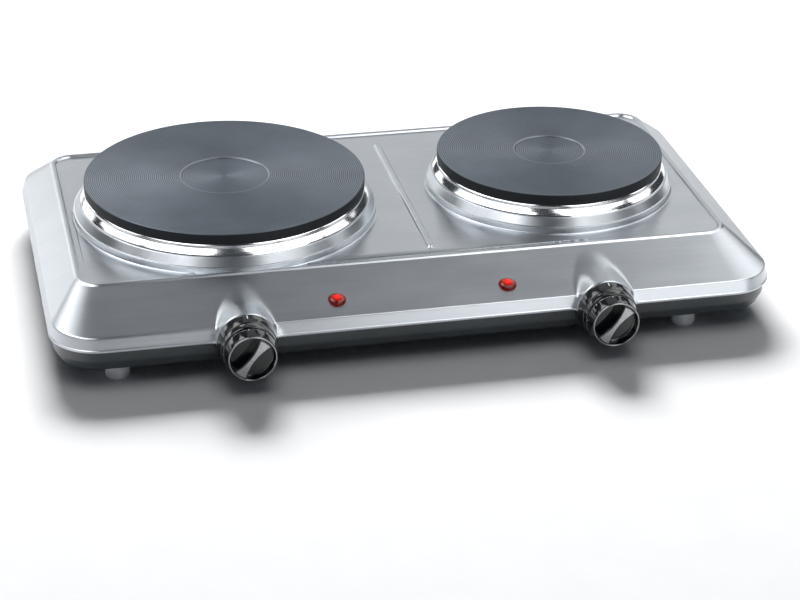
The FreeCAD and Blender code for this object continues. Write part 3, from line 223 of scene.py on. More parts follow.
def with_rows(line, segment, count):
    """The same outline with one of its segments divided into that many rows."""
    (a0, b0), (a1, b1) = line[segment], line[segment + 1]
    rows = [(a0 + (a1 - a0) * k / count, b0 + (b1 - b0) * k / count) for k in range(1, count)]
    return line[:segment + 1] + rows + line[segment + 1:]


def longest(line, rank=0):
    """The number of the outline's longest segment, or of the next one down for rank 1."""
    lengths = [math.dist(line[k], line[k + 1]) for k in range(len(line) - 1)]
    return sorted(range(len(lengths)), key=lambda k: -lengths[k])[rank]


def pressed_wall(half_width, front, back, outlines, radii, stations, back_stations=()):
    """Rows of points round a rounded rectangle, from (inset, height) outlines of its four sides.

    outlines are those of the front, the sides and the back, with equal numbers of points, and
    radii are the corner radii of their rows. stations are the places across the front and
    back_stations those across the back.
    """
    corner_steps = 14
    rows = []
    for (fi, fz), (si, sz), (bi, bz), radius in zip(*outlines, radii):
        x = half_width - si
        low, high = front + fi, back - bi
        straight = x - radius
        row = [(s * straight / stations[-1], low, fz) for s in stations]
        turns = [(straight, low + radius, -90, fz, sz), (straight, high - radius, 0, sz, bz),
                 (-straight, high - radius, 90, bz, sz), (-straight, low + radius, 180, sz, fz)]
        for centre_x, centre_y, start, z_from, z_to in turns:
            for k in range(corner_steps + 1):
                share = k / corner_steps
                if start == -90 and k == 0 or start == 180 and k == corner_steps:
                    continue
                angle = math.radians(start + 90 * share)
                row.append((centre_x + radius * math.cos(angle),
                            centre_y + radius * math.sin(angle), z_from + (z_to - z_from) * share))
            if start == 0:
                row += [(place, high, bz) for place in sorted(back_stations, reverse=True)]
        rows.append(row)
    return np.array(rows)


def strip_faces(rows, columns, first=0, closed=True):
    """Quads between rows of points, each row a ring unless it isn't closed."""
    faces = []
    for j in range(rows - 1):
        for k in range(columns if closed else columns - 1):
            low, high = first + j * columns, first + (j + 1) * columns
            faces.append((low + k, low + (k + 1) % columns, high + (k + 1) % columns, high + k))
    return faces


def fill_flat(points, faces, rings):
    """Fill the flat area inside the first ring of point numbers and outside the other rings."""
    bm = bmesh.new()
    made = []
    for ring in rings:
        corners = [bm.verts.new(points[k]) for k in ring]
        for k, corner in enumerate(corners):
            made.append(bm.edges.new((corner, corners[(k + 1) % len(corners)])))
    numbers = [k for ring in rings for k in ring]
    bm.verts.index_update()
    bmesh.ops.triangle_fill(bm, use_beauty=True, use_dissolve=False, edges=made)
    bm.normal_update()
    for face in bm.faces:
        faces.append([numbers[vert.index] for vert in face.verts])
    bm.free()


def open_round(points, faces, distances, radius):
    """Take away the faces inside a round opening and bring its edge to the true radius.

    distances holds, for each point, the vector from the opening's centre, or None.
    """
    inside = {k for k, arm in enumerate(distances) if arm is not None and arm.length < radius}
    faces[:] = [face for face in faces if not all(k in inside for k in face)]
    for k in {k for face in faces for k in face} & inside:
        points[k] += np.array(distances[k] * (radius / distances[k].length - 1))


def keep_result(piece):
    """Make what the piece's modifiers give its own plain mesh, and take them off it."""
    bpy.context.view_layer.update()
    whole = piece.evaluated_get(bpy.context.evaluated_depsgraph_get())
    result = bpy.data.meshes.new_from_object(whole)
    piece.modifiers.clear()
    piece.data = result


def thicken(piece, thickness, opens_down):
    """Give a pressed sheet its wall, inwards, with every face turned outwards."""
    bm = bmesh.new()
    bm.from_mesh(piece.data)
    bmesh.ops.remove_doubles(bm, verts=bm.verts, dist=0.005 * MM)
    loose = [vert for vert in bm.verts if not vert.link_faces]
    bmesh.ops.delete(bm, geom=loose, context="VERTS")
    bmesh.ops.recalc_face_normals(bm, faces=bm.faces)
    flattest = max(bm.faces, key=lambda face: abs(face.normal.z) * face.calc_area())
    if (flattest.normal.z > 0) != opens_down:
        bmesh.ops.reverse_faces(bm, faces=bm.faces)
    bm.to_mesh(piece.data)
    bm.free()
    wall = piece.modifiers.new("wall", "SOLIDIFY")
    wall.thickness = thickness
    wall.offset = -1.0
    wall.use_even_offset = False
    keep_result(piece)


def middle(node):
    """The middle of a node's box at rest."""
    return [(low + high) / 2 for low, high in zip(*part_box(node))]


SIDES = ("left", "right")
BAND_FLARE = 2.2 * MM
BOSS_REACH = 4.2 * MM             # how far a knob bulge stands in front of the shoulder
SHOULDER_CORNER = 30 * MM
cover_low, cover_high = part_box("top_cover")
shoulder_half_width = cover_high.x - BAND_FLARE
boss_front = cover_low.y
shoulder_front = boss_front + BOSS_REACH
shoulder_back = cover_high.y - BAND_FLARE
knob_places = {side: (middle(side + "_knob")[0], middle(side + "_knob_rim")[2]) for side in SIDES}

PAN_WALL = 1.2 * MM
PAN_INSET = 0.3 * MM
PAN_CHAMFER = 3.3 * MM
PAN_CHAMFER_HEIGHT = 6.7 * MM
PAN_TOP = 28.0 * MM
PAN_FILLET = 1.4 * MM
PAN_BOSS_RADIUS = 19.2 * MM
PAN_BOSS_TAPER = 5.6 / 29.0
PAN_BOSS_LENGTH = 29.0 * MM
PAN_BOSS_SPREAD = 4.0 * MM        # the wall beside a bulge that leads into it
PAN_BOSS_LEAD = 7.0 * MM          # stretch beside a bulge with stations close together
PAN_BOSS_EDGE = 1.2 * MM          # width of the turn from the wall to the bulge's flat front
PAN_BOSS_FADE = 20 * MM           # how far back the floor is drawn forwards under a bulge
SPIGOT_RADIUS = 15.4 * MM
CABLE_PAD_HALF = 11.0 * MM
CABLE_PAD_SPREAD = 4.0 * MM
CABLE_PAD_EDGE = 1.5 * MM
CABLE_PAD_TOP = 24 * MM
CABLE_PAD_PROUD = 2.0 * MM
GROUND_CLEARANCE = 10.6 * MM
FLOOR_RIM = 34 * MM               # flat floor drawn in rows this far in from the shoulder
SPLIT_GAP = 0.2 * MM
TOUCH = 0.1 * MM                  # points this near a face count as on it


def across(centres, reach, wide=19, fine_angle=5, leading=6):
    """Stations across the front: close together round each centre, wide apart between them.

    Each centre has a radius and a spread, over which a few stations lead away from it.
    """
    places = set(np.linspace(-1, 1, wide) * reach)
    for centre, radius, spread in centres:
        places = {p for p in places if abs(p - centre) > radius + spread}
        places |= {centre + radius * math.sin(math.radians(a)) for a in range(-90, 91, fine_angle)}
        places |= {centre + side * (radius + spread * k / leading)
                   for k in range(1, leading + 1) for side in (-1, 1)}
    return sorted(places)


knob_stations = [(x, PAN_BOSS_RADIUS, PAN_BOSS_LEAD) for x, _ in knob_places.values()]
pan_stations = across(knob_stations, shoulder_half_width - SHOULDER_CORNER)
chamfer_top = GROUND_CLEARANCE + PAN_CHAMFER_HEIGHT
pan_line = rounded([(PAN_INSET, PAN_TOP), (PAN_INSET, chamfer_top, PAN_FILLET),
                    (PAN_INSET + PAN_CHAMFER, GROUND_CLEARANCE, PAN_FILLET),
                    (FLOOR_RIM, GROUND_CLEARANCE)])
FLOOR_ROWS, WALL_ROWS = 22, 8
pan_line = with_rows(pan_line, longest(pan_line), FLOOR_ROWS)
pan_line = with_rows(pan_line, 0, WALL_ROWS)
pan_radii = [SHOULDER_CORNER - min(inset, SHOULDER_CORNER - 10 * MM) for inset, _ in pan_line]
pad_x = middle("cable_gland")[0]
pad_stations = [pad_x + side * (CABLE_PAD_HALF + step * MM) for side in (-1, 1)
                for step in (-5, -1.5, -0.5, 0, 0.5, 1.0, 1.5, 4.0)]
pan_rows = pressed_wall(shoulder_half_width, shoulder_front, shoulder_back, [pan_line] * 3,
                        pan_radii, pan_stations, pad_stations)
pan_count, pan_columns, _ = pan_rows.shape
pan_points = pan_rows.reshape(-1, 3)
floor_front = shoulder_front + PAN_INSET + PAN_CHAMFER
split_height = cover_low.z - SPLIT_GAP
for point in pan_points:
    x, y, z = point
    for knob_x, knob_z in knob_places.values():
        aside = abs(x - knob_x)
        if y > boss_front + PAN_BOSS_LENGTH or aside > PAN_BOSS_RADIUS + PAN_BOSS_SPREAD:
            continue
        radius = PAN_BOSS_RADIUS - PAN_BOSS_TAPER * max(y - boss_front, 0)
        drop = math.sqrt(max(radius ** 2 - aside ** 2, 0))
        lowest = knob_z - drop if aside < radius else z
        inside = PAN_BOSS_RADIUS + PAN_BOSS_EDGE / 2 - math.hypot(aside, z - knob_z)
        front_share = min(max(inside / PAN_BOSS_EDGE, 0), 1)
        if y < floor_front + TOUCH:
            point[1] = y + (boss_front + SPLIT_GAP - y) * front_share
            depth_share = (PAN_TOP - z) / (PAN_TOP - GROUND_CLEARANCE)
            if lowest < GROUND_CLEARANCE:
                point[2] = PAN_TOP + (lowest - PAN_TOP) * depth_share
            point[2] = min(point[2], PAN_TOP + (split_height - PAN_TOP) * front_share)
        elif lowest < z:
            floor_share = (y - floor_front) / PAN_BOSS_FADE
            point[1] = y + (boss_front + SPLIT_GAP - y) * max(1 - floor_share, 0) ** 2
            again = PAN_BOSS_RADIUS - PAN_BOSS_TAPER * max(point[1] - boss_front, 0)
            if aside < again:
                point[2] = min(z, knob_z - math.sqrt(again ** 2 - aside ** 2))
pad_back = shoulder_back - PAN_INSET + CABLE_PAD_PROUD
for point in pan_points:
    aside = abs(point[0] - pad_x)
    at_back = point[1] > shoulder_back - CABLE_PAD_SPREAD
    at_height = GROUND_CLEARANCE - TOUCH < point[2] < CABLE_PAD_TOP
    if at_back and at_height and aside < CABLE_PAD_HALF + CABLE_PAD_SPREAD:
        share = min(max((CABLE_PAD_HALF + MM - aside) / CABLE_PAD_EDGE, 0), 1)
        point[1] += (pad_back - point[1]) * share
pan_faces = strip_faces(pan_count, pan_columns)
last_row = [pan_columns * (pan_count - 1) + k for k in range(pan_columns)]
fill_flat(pan_points, pan_faces, [last_row])
for knob_x, knob_z in knob_places.values():
    arms = [Vector((x - knob_x, 0, z - knob_z)) if y < boss_front + 2 * SPLIT_GAP else None
            for x, y, z in pan_points]
    open_round(pan_points, pan_faces, arms, SPIGOT_RADIUS)

pan_finish, tree, shader = new_finish("black_enamel", metallic=0.0, coat_weight=0.6,
                                      coat_roughness=0.22, specular_ior_level=0.7)
orange_peel = noise(tree, 900, 0, 1, 1.0)
dust = noise(tree, (45, 45, 90), 0, 1, 4.0)
tree.links.new(shade(tree, dust, (0.022, 0.033, 0.038), (0.036, 0.052, 0.058)),
               shader.inputs["Base Color"])
tree.links.new(noise(tree, 60, 0.34, 0.44), shader.inputs["Roughness"])
bump(tree, shader, orange_peel, 0.012 * MM)
pan = mesh_object("base_tray", pan_points, pan_faces, pan_finish)
thicken(pan, PAN_WALL, opens_down=False)
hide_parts("base_pan")
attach(pan, "housing")


# ---- top cover -----------------------------------------------------------------------------------
# One pressing of thin stainless sheet, brushed from side to side. It has a rolled hem, a raised rim
# round a sunk panel, a divider bead, a collar for each plate and the upper half of each knob bulge.
COVER_WALL = 0.9 * MM
COVER_HEM = 1.5 * MM
HEM_PROUD = 0.45 * MM
SHOULDER_HEIGHT = 34.4 * MM
SHOULDER_FILLET = 1.3 * MM
CREST_HEIGHT = 48.5 * MM
PANEL_HEIGHT = 47.1 * MM
RIM_WIDTH = 3.6 * MM
SKIRT_FRONT = 45.5 * MM
SKIRT_SIDE = 19.0 * MM
CREST_CORNER = 15.0 * MM
BOSS_RADIUS = 19.4 * MM
BOSS_TAPER = 2.4 / 29.0
BOSS_EDGE = 1.0 * MM
BOSS_BLEND = 6.0 * MM
BOSS_FLANK = 14 * MM              # beyond this from its middle, a bulge is smoothed into the sheet
BOSS_DRAW = 26 * MM               # how far back the skirt is drawn forwards above a bulge
BOSS_PASSES = 4
BOSS_LEAD = 9.0 * MM
BOSS_SIDE_FADE = 4.0 * MM         # over this, beside a bulge, the skirt is no longer drawn forwards
BOSS_RIM_FADE = 2.0 * MM          # the same round the bulge's flat front
CREST_LEAD = 0.9 * MM             # the skirt ends this far out from the crest and below it
COLLAR_OVERHANG = 7.3 * MM
COLLAR_CONE = (3.6 * MM, 6.0 * MM)      # how far the collar's cone leans in, and its height
COLLAR_LIP = 5.5 * MM
COLLAR_BEAD = 0.35 * MM
COLLAR_STEPS = 160
DIVIDER_X = 16.0 * MM
DIVIDER_HALF = 2.5 * MM
DIVIDER_CROWN = 1.7 * MM
DIVIDER_MARGINS = (17.0 * MM, 23.0 * MM)      # from the crest in front, and from the one behind
DIVIDER_STEPS = 12
LAMP_HOLE = 4.6 * MM
LAMP_ABOVE = 14.6 * MM            # from the shoulder back to the middle of a lamp
LAMP_STRETCH = (5.0 * MM, 2.0 * MM)     # half the skirt with close stations at a lamp, and its lead
SKIRT_ROWS, BAND_ROWS = 44, 7


def cover_outline(skirt):
    """The sheet's outer outline on one side, from the hem up to the panel: (inset, height)."""
    bottom = cover_low.z
    hem_top = bottom + COVER_HEM
    return rounded([
        (HEM_PROUD * 2 - BAND_FLARE, bottom), (-BAND_FLARE, bottom, 0.4 * MM),
        (-BAND_FLARE, hem_top, 0.4 * MM),
        (HEM_PROUD - BAND_FLARE, hem_top + HEM_PROUD, 0.25 * MM),
        (0, SHOULDER_HEIGHT, SHOULDER_FILLET),
        (skirt - CREST_LEAD, CREST_HEIGHT - CREST_LEAD, 0.9 * MM),
        (skirt + 0.5 * MM, CREST_HEIGHT + 0.35 * MM, 1.1 * MM),
        (skirt + 2.5 * MM, CREST_HEIGHT + 0.1 * MM, 1.2 * MM),
        (skirt + RIM_WIDTH, PANEL_HEIGHT, 0.5 * MM), (skirt + 2 * RIM_WIDTH, PANEL_HEIGHT)])


def soft_greater(a, b, blend):
    """The greater of two heights, with a soft fillet where they meet."""
    share = max(blend - abs(a - b), 0) / blend
    return max(a, b) + share * share * blend / 4


def eased(value):
    """A value brought between 0 and 1, leaving both ends gently."""
    value = min(max(value, 0), 1)
    return value * value * (3 - 2 * value)


front_line, side_line = cover_outline(SKIRT_FRONT), cover_outline(SKIRT_SIDE)
skirt_row, band_row = longest(front_line), longest(front_line, 1)
front_line, side_line = [with_rows(with_rows(line, skirt_row, SKIRT_ROWS), band_row, BAND_ROWS)
                         for line in (front_line, side_line)]
first_shoulder_row = band_row + BAND_ROWS
last_shoulder_row = skirt_row + BAND_ROWS - 1
cover_radii = []
for inset, _ in side_line:
    taken_in = min(max(inset / SKIRT_SIDE, 0), 1) * (SHOULDER_CORNER - CREST_CORNER)
    beyond = min(inset, 0) + max(inset - SKIRT_SIDE, 0)
    cover_radii.append(SHOULDER_CORNER - taken_in - beyond)
lamp_places = {side: middle(side + "_lamp_lens")[0] for side in SIDES}
stations = across([(x, BOSS_RADIUS, BOSS_LEAD) for x, _ in knob_places.values()]
                  + [(lamp_x, *LAMP_STRETCH) for lamp_x in lamp_places.values()],
                  shoulder_half_width - SHOULDER_CORNER)
cover_rows = pressed_wall(shoulder_half_width, shoulder_front, shoulder_back,
                          (front_line, side_line, side_line), cover_radii, stations)
skirt_slope = (CREST_HEIGHT - CREST_LEAD - SHOULDER_HEIGHT) / (SKIRT_FRONT - CREST_LEAD)
shoulder_y = cover_rows[last_shoulder_row][len(stations) // 2][1]
flat_rows = cover_rows.copy()
for knob_x, knob_z in knob_places.values():
    for j in range(last_shoulder_row + SKIRT_ROWS):
        for k in range(len(stations)):
            x, y, z = flat_rows[j][k]
            aside = abs(x - knob_x)
            if aside > BOSS_RADIUS + BOSS_BLEND:
                continue
            top = knob_z + math.sqrt(max(BOSS_RADIUS ** 2 - aside ** 2, 0))
            near = eased((BOSS_RADIUS + MM - aside) / BOSS_SIDE_FADE)
            full = top > SHOULDER_HEIGHT + BOSS_EDGE
            if j <= first_shoulder_row and full:
                share = (z - cover_low.z) / (flat_rows[first_shoulder_row][k][2] - cover_low.z)
                y, z = boss_front, cover_low.z + share * (top - BOSS_EDGE - cover_low.z)
            elif j <= last_shoulder_row and full:
                swing = math.pi / 2 * (j - first_shoulder_row) / (last_shoulder_row
                                                                  - first_shoulder_row)
                y = boss_front + BOSS_EDGE * (1 - math.cos(swing))
                z = top - BOSS_EDGE * (1 - math.sin(swing))
            elif j <= last_shoulder_row:
                around = math.hypot(aside, z - knob_z)
                y += (boss_front - y) * eased((BOSS_RADIUS + MM - around) / BOSS_RIM_FADE)
            else:
                pull = max(1 - (y - shoulder_y) / BOSS_DRAW, 0) ** 2
                y += (boss_front + BOSS_EDGE - shoulder_y) * pull * near
                radius = BOSS_RADIUS - BOSS_TAPER * max(y - boss_front, 0)
                under = radius ** 2 - aside ** 2
                cone = knob_z + (math.sqrt(under) if under > 0 else 2 * (radius - aside))
                z = soft_greater(SHOULDER_HEIGHT + skirt_slope * (y - shoulder_front), cone,
                                 BOSS_BLEND)
            cover_rows[j][k] = (x, y, z)
for _ in range(BOSS_PASSES):
    moved = cover_rows - flat_rows
    eased_rows = cover_rows.copy()
    for knob_x, _ in knob_places.values():
        for k in range(1, len(stations) - 1):
            aside = abs(flat_rows[0][k][0] - knob_x)
            if BOSS_FLANK < aside < BOSS_RADIUS + BOSS_BLEND:
                for j in range(2, last_shoulder_row + SKIRT_ROWS - 1):
                    mean = (moved[j][k - 1] + moved[j][k + 1] + moved[j - 1][k]
                            + moved[j + 1][k]) / 4
                    eased_rows[j][k] = flat_rows[j][k] + (moved[j][k] + mean) / 2
    cover_rows = eased_rows
cover_count, cover_columns, _ = cover_rows.shape
cover_points = [np.array(p) for p in cover_rows.reshape(-1, 3)]
cover_faces = strip_faces(cover_count, cover_columns)
panel_edges = [[cover_columns * (cover_count - 1) + k for k in range(cover_columns)]]

plates = {}
for size in ("large", "small"):
    low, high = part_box("plate_" + size)
    plates[size] = (*middle("plate_" + size)[:2], (high.x - low.x) / 2)
ledge_height = cover_high.z
for centre_x, centre_y, plate_radius in plates.values():
    collar = plate_radius + COLLAR_OVERHANG
    cone_inset, cone_height = COLLAR_CONE
    wall_top = ledge_height - cone_height
    line = rounded([(collar + 1.6 * MM, PANEL_HEIGHT), (collar, PANEL_HEIGHT, 1.1 * MM),
                    (collar, wall_top - 0.7 * MM, 0.3 * MM),
                    (collar + COLLAR_BEAD, wall_top - 0.3 * MM, 0.3 * MM),
                    (collar + COLLAR_BEAD, wall_top + 0.4 * MM, 0.35 * MM),
                    (collar - 0.7 * MM, wall_top + 0.5 * MM, 0.3 * MM),
                    (collar - cone_inset, ledge_height, 0.5 * MM),
                    (plate_radius - COLLAR_LIP, ledge_height)])
    first = len(cover_points)
    for radius, height in line:
        for k in range(COLLAR_STEPS):
            angle = 2 * math.pi * k / COLLAR_STEPS
            cover_points.append(np.array((centre_x + radius * math.cos(angle),
                                          centre_y + radius * math.sin(angle), height)))
    cover_faces += strip_faces(len(line), COLLAR_STEPS, first)
    panel_edges.append(list(range(first, first + COLLAR_STEPS)))

crest_front, crest_back = shoulder_front + SKIRT_FRONT, shoulder_back - SKIRT_SIDE
divider_front, divider_back = crest_front + DIVIDER_MARGINS[0], crest_back - DIVIDER_MARGINS[1]
line = rounded([(DIVIDER_HALF + 0.9 * MM, PANEL_HEIGHT), (DIVIDER_HALF, PANEL_HEIGHT, 0.5 * MM),
                (DIVIDER_HALF - 0.9 * MM, PANEL_HEIGHT + DIVIDER_CROWN - 0.15 * MM, 1.2 * MM),
                (0.2 * MM, PANEL_HEIGHT + DIVIDER_CROWN)])
first = len(cover_points)
for radius, height in line:
    for end, start in ((divider_front, 180), (divider_back, 0)):
        for k in range(DIVIDER_STEPS + 1):
            angle = math.radians(start + 180 * k / DIVIDER_STEPS)
            cover_points.append(np.array((DIVIDER_X + radius * math.cos(angle),
                                          end + radius * math.sin(angle), height)))
bead_columns = 2 * (DIVIDER_STEPS + 1)
cover_faces += strip_faces(len(line), bead_columns, first)
panel_edges.append(list(range(first, first + bead_columns)))
fill_flat(cover_points, cover_faces, panel_edges)
last = first + bead_columns * (len(line) - 1)
fill_flat(cover_points, cover_faces, [list(range(last, last + bead_columns))])
for knob_x, knob_z in knob_places.values():
    arms = [Vector((x - knob_x, 0, z - knob_z)) if y < boss_front + 0.01 * MM else None
            for x, y, z in cover_points]
    open_round(cover_points, cover_faces, arms, SPIGOT_RADIUS)
tilt = math.atan(skirt_slope)
up_skirt = Vector((0, math.cos(tilt), math.sin(tilt)))
for lamp_x in lamp_places.values():
    arms = []
    for x, y, z in cover_points:
        near = shoulder_front < y < crest_front and abs(x - lamp_x) < 4 * LAMP_HOLE
        rise = (y - shoulder_front - LAMP_ABOVE) / math.cos(tilt)
        arms.append(Vector((x - lamp_x, 0, 0)) + up_skirt * rise if near else None)
    open_round(cover_points, cover_faces, arms, LAMP_HOLE)

def between(tree, share, low, high):
    """A number from low to high, by a share from 0 to 1, each of them plain or a socket."""
    return add(tree, "ShaderNodeMix", {"Factor": share, "A": low, "B": high}).outputs[0]


cover_finish, tree, shader = new_finish("brushed_stainless", metallic=1.0, anisotropic=0.7)
sheet_place = add(tree, "ShaderNodeUVMap", uv_map="sheet").outputs["UV"]
hairlines = noise(tree, (14, 5200, 1), 0, 1, 3.0, sheet_place)
bands = noise(tree, (5, 700, 1), 0, 1, 3.0, sheet_place)
cloud = noise(tree, (16, 30, 1), 0, 1, 3.0, sheet_place)
grain = between(tree, 0.3, hairlines, bands)
worn = between(tree, 0.35, grain, cloud)
tree.links.new(shade(tree, worn, (0.475, 0.505, 0.537), (0.672, 0.702, 0.734)),
               shader.inputs["Base Color"])
tree.links.new(between(tree, worn, 0.27, 0.34), shader.inputs["Roughness"])
bump(tree, shader, grain, 0.0012 * MM)
facing = add(tree, "ShaderNodeNewGeometry").outputs["Normal"]
across_grain = add(tree, "ShaderNodeVectorMath", {0: facing, 1: (1.0, 0.02, 0.0)},
                   operation="CROSS_PRODUCT")
tree.links.new(across_grain.outputs[0], shader.inputs["Tangent"])
cover = mesh_object("cover_pressing", cover_points, cover_faces, cover_finish)
thicken(cover, COVER_WALL, opens_down=True)
sheet_map = cover.data.uv_layers.new(name="sheet")
crest_side = shoulder_half_width - SKIRT_SIDE
NEVER_ZERO = 1e-9
for loop in cover.data.loops:
    x, y, z = cover.data.vertices[loop.vertex_index].co
    ahead, behind = max(crest_front - y, 0), max(y - crest_back, 0)
    outward = math.hypot(ahead + behind, max(abs(x) - crest_side, 0)) + NEVER_ZERO
    bent = (PANEL_HEIGHT - z) * (behind - ahead) / outward
    sheet_map.data[loop.index].uv = (x, y + bent)
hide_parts("top_cover")
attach(cover, "housing")


# ---- trim rings ----------------------------------------------------------------------------------
# Between each plate and its collar: a spun ring of thin stainless steel, polished like a mirror.
# A narrow lip carries the plate's rim, and below a crease it flares out onto the collar's ledge.
def turned(outline, steps, place):
    """Points and faces of an outline of (radius, height) turned about Z, then put in its place."""
    points, faces, rings = [], [], []
    for radius, height in outline:
        count = steps if radius > 1e-7 else 1
        rings.append((len(points), count))
        for k in range(count):
            angle = 2 * math.pi * k / steps
            local = Vector((radius * math.cos(angle), radius * math.sin(angle), height))
            points.append(place @ local)
    for (first, count), (following, next_count) in zip(rings, rings[1:]):
        for k in range(steps):
            after = (k + 1) % steps
            face = [first + k % count, first + after % count,
                    following + after % next_count, following + k % next_count]
            face = [p for n, p in enumerate(face) if p not in face[:n]]
            if len(face) > 2:
                faces.append(face)
    return points, faces


def close_shells(piece):
    """Weld a piece's seams and poles and turn every closed shell's faces outwards."""
    bm = bmesh.new()
    bm.from_mesh(piece.data)
    bmesh.ops.remove_doubles(bm, verts=bm.verts, dist=0.004 * MM)
    bmesh.ops.recalc_face_normals(bm, faces=bm.faces)
    bm.to_mesh(piece.data)
    bm.free()
    return piece


def round_place(tree, centre):
    """The arm from an upright axis through the centre, and its length."""
    coords = add(tree, "ShaderNodeTexCoord").outputs["Object"]
    arm = add(tree, "ShaderNodeVectorMath", {0: coords, 1: (centre[0], centre[1], 0)},
              operation="SUBTRACT")
    flat = add(tree, "ShaderNodeVectorMath", {0: arm.outputs[0], 1: (1, 1, 0)},
               operation="MULTIPLY").outputs[0]
    radius = add(tree, "ShaderNodeVectorMath", {0: flat}, operation="LENGTH").outputs["Value"]
    return flat, radius


def noise_round(tree, centre, scale, low, high, detail=3.0):
    """A noise that runs in circles about an upright axis through the centre, by radius alone."""
    line = add(tree, "ShaderNodeCombineXYZ", {"X": round_place(tree, centre)[1]})
    return noise(tree, (scale, 1, 1), low, high, detail, line.outputs[0])


def lathe_tangent(tree, shader, centre):
    """Let the shader's highlight stretch across grooves that run round the centre."""
    normal = add(tree, "ShaderNodeNewGeometry").outputs["Normal"]
    around = add(tree, "ShaderNodeVectorMath", {0: (0, 0, 1), 1: round_place(tree, centre)[0]},
                 operation="CROSS_PRODUCT")
    across_lines = add(tree, "ShaderNodeVectorMath", {0: around.outputs[0], 1: normal},
                       operation="CROSS_PRODUCT")
    tree.links.new(across_lines.outputs[0], shader.inputs["Tangent"])


PLATE_UNDER_RIM = 64.6 * MM
TRIM_WALL = 0.8 * MM
TRIM_CREASE = 4.3 * MM            # height above the ledge of the crease between lip and flare
TRIM_LIP = 6.2 * MM
TRIM_STEPS = 192
for size, (centre_x, centre_y, plate_radius) in plates.items():
    ring_finish, tree, shader = new_finish("polished_ring_" + size, metallic=1.0,
                                           base_color=(0.70, 0.71, 0.72))
    hairlines = noise_round(tree, (centre_x, centre_y), 5200, 0, 1)
    haze = noise(tree, 35, 0.09, 0.15)
    tree.links.new(haze, shader.inputs["Roughness"])
    bump(tree, shader, hairlines, 0.0002 * MM)
    lathe_tangent(tree, shader, (centre_x, centre_y))
    inner, crease = plate_radius - TRIM_LIP, ledge_height + TRIM_CREASE
    outline = rounded([
        (inner, PLATE_UNDER_RIM), (plate_radius - 0.9 * MM, PLATE_UNDER_RIM, 0.35 * MM),
        (plate_radius - 0.1 * MM, PLATE_UNDER_RIM - 1.0 * MM, 0.6 * MM),
        (plate_radius - 0.1 * MM, crease + 0.5 * MM, 0.25 * MM),
        (plate_radius - 0.4 * MM, crease + 0.05 * MM, 0.15 * MM),
        (plate_radius, crease - 0.35 * MM, 0.3 * MM),
        (plate_radius + 1.5 * MM, crease - 2.0 * MM, 3.0 * MM),
        (plate_radius + 2.7 * MM, ledge_height + 0.9 * MM, 0.5 * MM),
        (plate_radius + 3.0 * MM, ledge_height + 0.02 * MM, 0.1 * MM),
        (plate_radius + 1.7 * MM, ledge_height + 0.02 * MM), (plate_radius - 1.2 * MM, crease - TRIM_WALL),
        (plate_radius - 1.2 * MM, PLATE_UNDER_RIM - TRIM_WALL - 0.2 * MM),
        (inner, PLATE_UNDER_RIM - TRIM_WALL),
        (inner, PLATE_UNDER_RIM)])
    place = Matrix.Translation((centre_x, centre_y, 0))
    ring = close_shells(mesh_object("polished_ring_" + size, *turned(outline, TRIM_STEPS, place),
                                    ring_finish))
    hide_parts("trim_ring_" + size)
    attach(ring, "housing")


# ---- plates --------------------------------------------------------------------------------------
# Two grey iron castings with a heat-proof black coat. The face is turned on a lathe, so fine
# grooves run round it and round the shallow recess in its middle; heaters fill the grooves below.
TURNED_PITCH = 1.32 * MM
TURNED_DEPTH = 0.085 * MM
ROWS_PER_GROOVE = 4
PLATE_STEPS = 224
RECESS_DEPTH = 0.8 * MM
RECESS_RADII = {"large": 29.8 * MM, "small": 24.5 * MM}
RECESS_SLOPE = 1.3 * MM
PLATE_SHOULDER = 1.1 * MM
PLATE_BODY_INSET = 6.5 * MM
HEATER_GROOVE = (14.5 * MM, 3.5 * MM, 10.0 * MM)      # width, rib between, depth
HEATER_GROOVES = 3


def new_tree(name, sizes):
    """An empty node group for a modifier: a geometry in and out, and one named input per size."""
    group = bpy.data.node_groups.new(name, "GeometryNodeTree")
    group.interface.new_socket("Geometry", in_out="INPUT", socket_type="NodeSocketGeometry")
    group.interface.new_socket("Geometry", in_out="OUTPUT", socket_type="NodeSocketGeometry")
    for title, value in sizes.items():
        kind = "NodeSocketInt" if isinstance(value, int) else "NodeSocketFloat"
        group.interface.new_socket(title, in_out="INPUT", socket_type=kind)
    return group, group.nodes.new("NodeGroupInput").outputs


def end_tree(group, geometry, material):
    """Realize the instances, give them their material and send them out."""
    real = add(group, "GeometryNodeRealizeInstances", {"Geometry": geometry})
    painted = add(group, "GeometryNodeSetMaterial", {"Geometry": real.outputs[0],
                                                     "Material": material})
    add(group, "NodeGroupOutput", {"Geometry": painted.outputs[0]})


def grow(piece, group, sizes):
    """Run the tree on the piece with these sizes, and keep the result as its plain mesh."""
    modifier = piece.modifiers.new(group.name, "NODES")
    modifier.node_group = group
    for socket in group.interface.items_tree:
        if socket.item_type == "SOCKET" and socket.name in sizes:
            modifier[socket.identifier] = sizes[socket.name]
    keep_result(piece)


def calculate(group, operation, *values):
    """One step of arithmetic in a tree: plain numbers are set, sockets are linked."""
    return add(group, "ShaderNodeMath", dict(enumerate(values)), operation=operation).outputs[0]


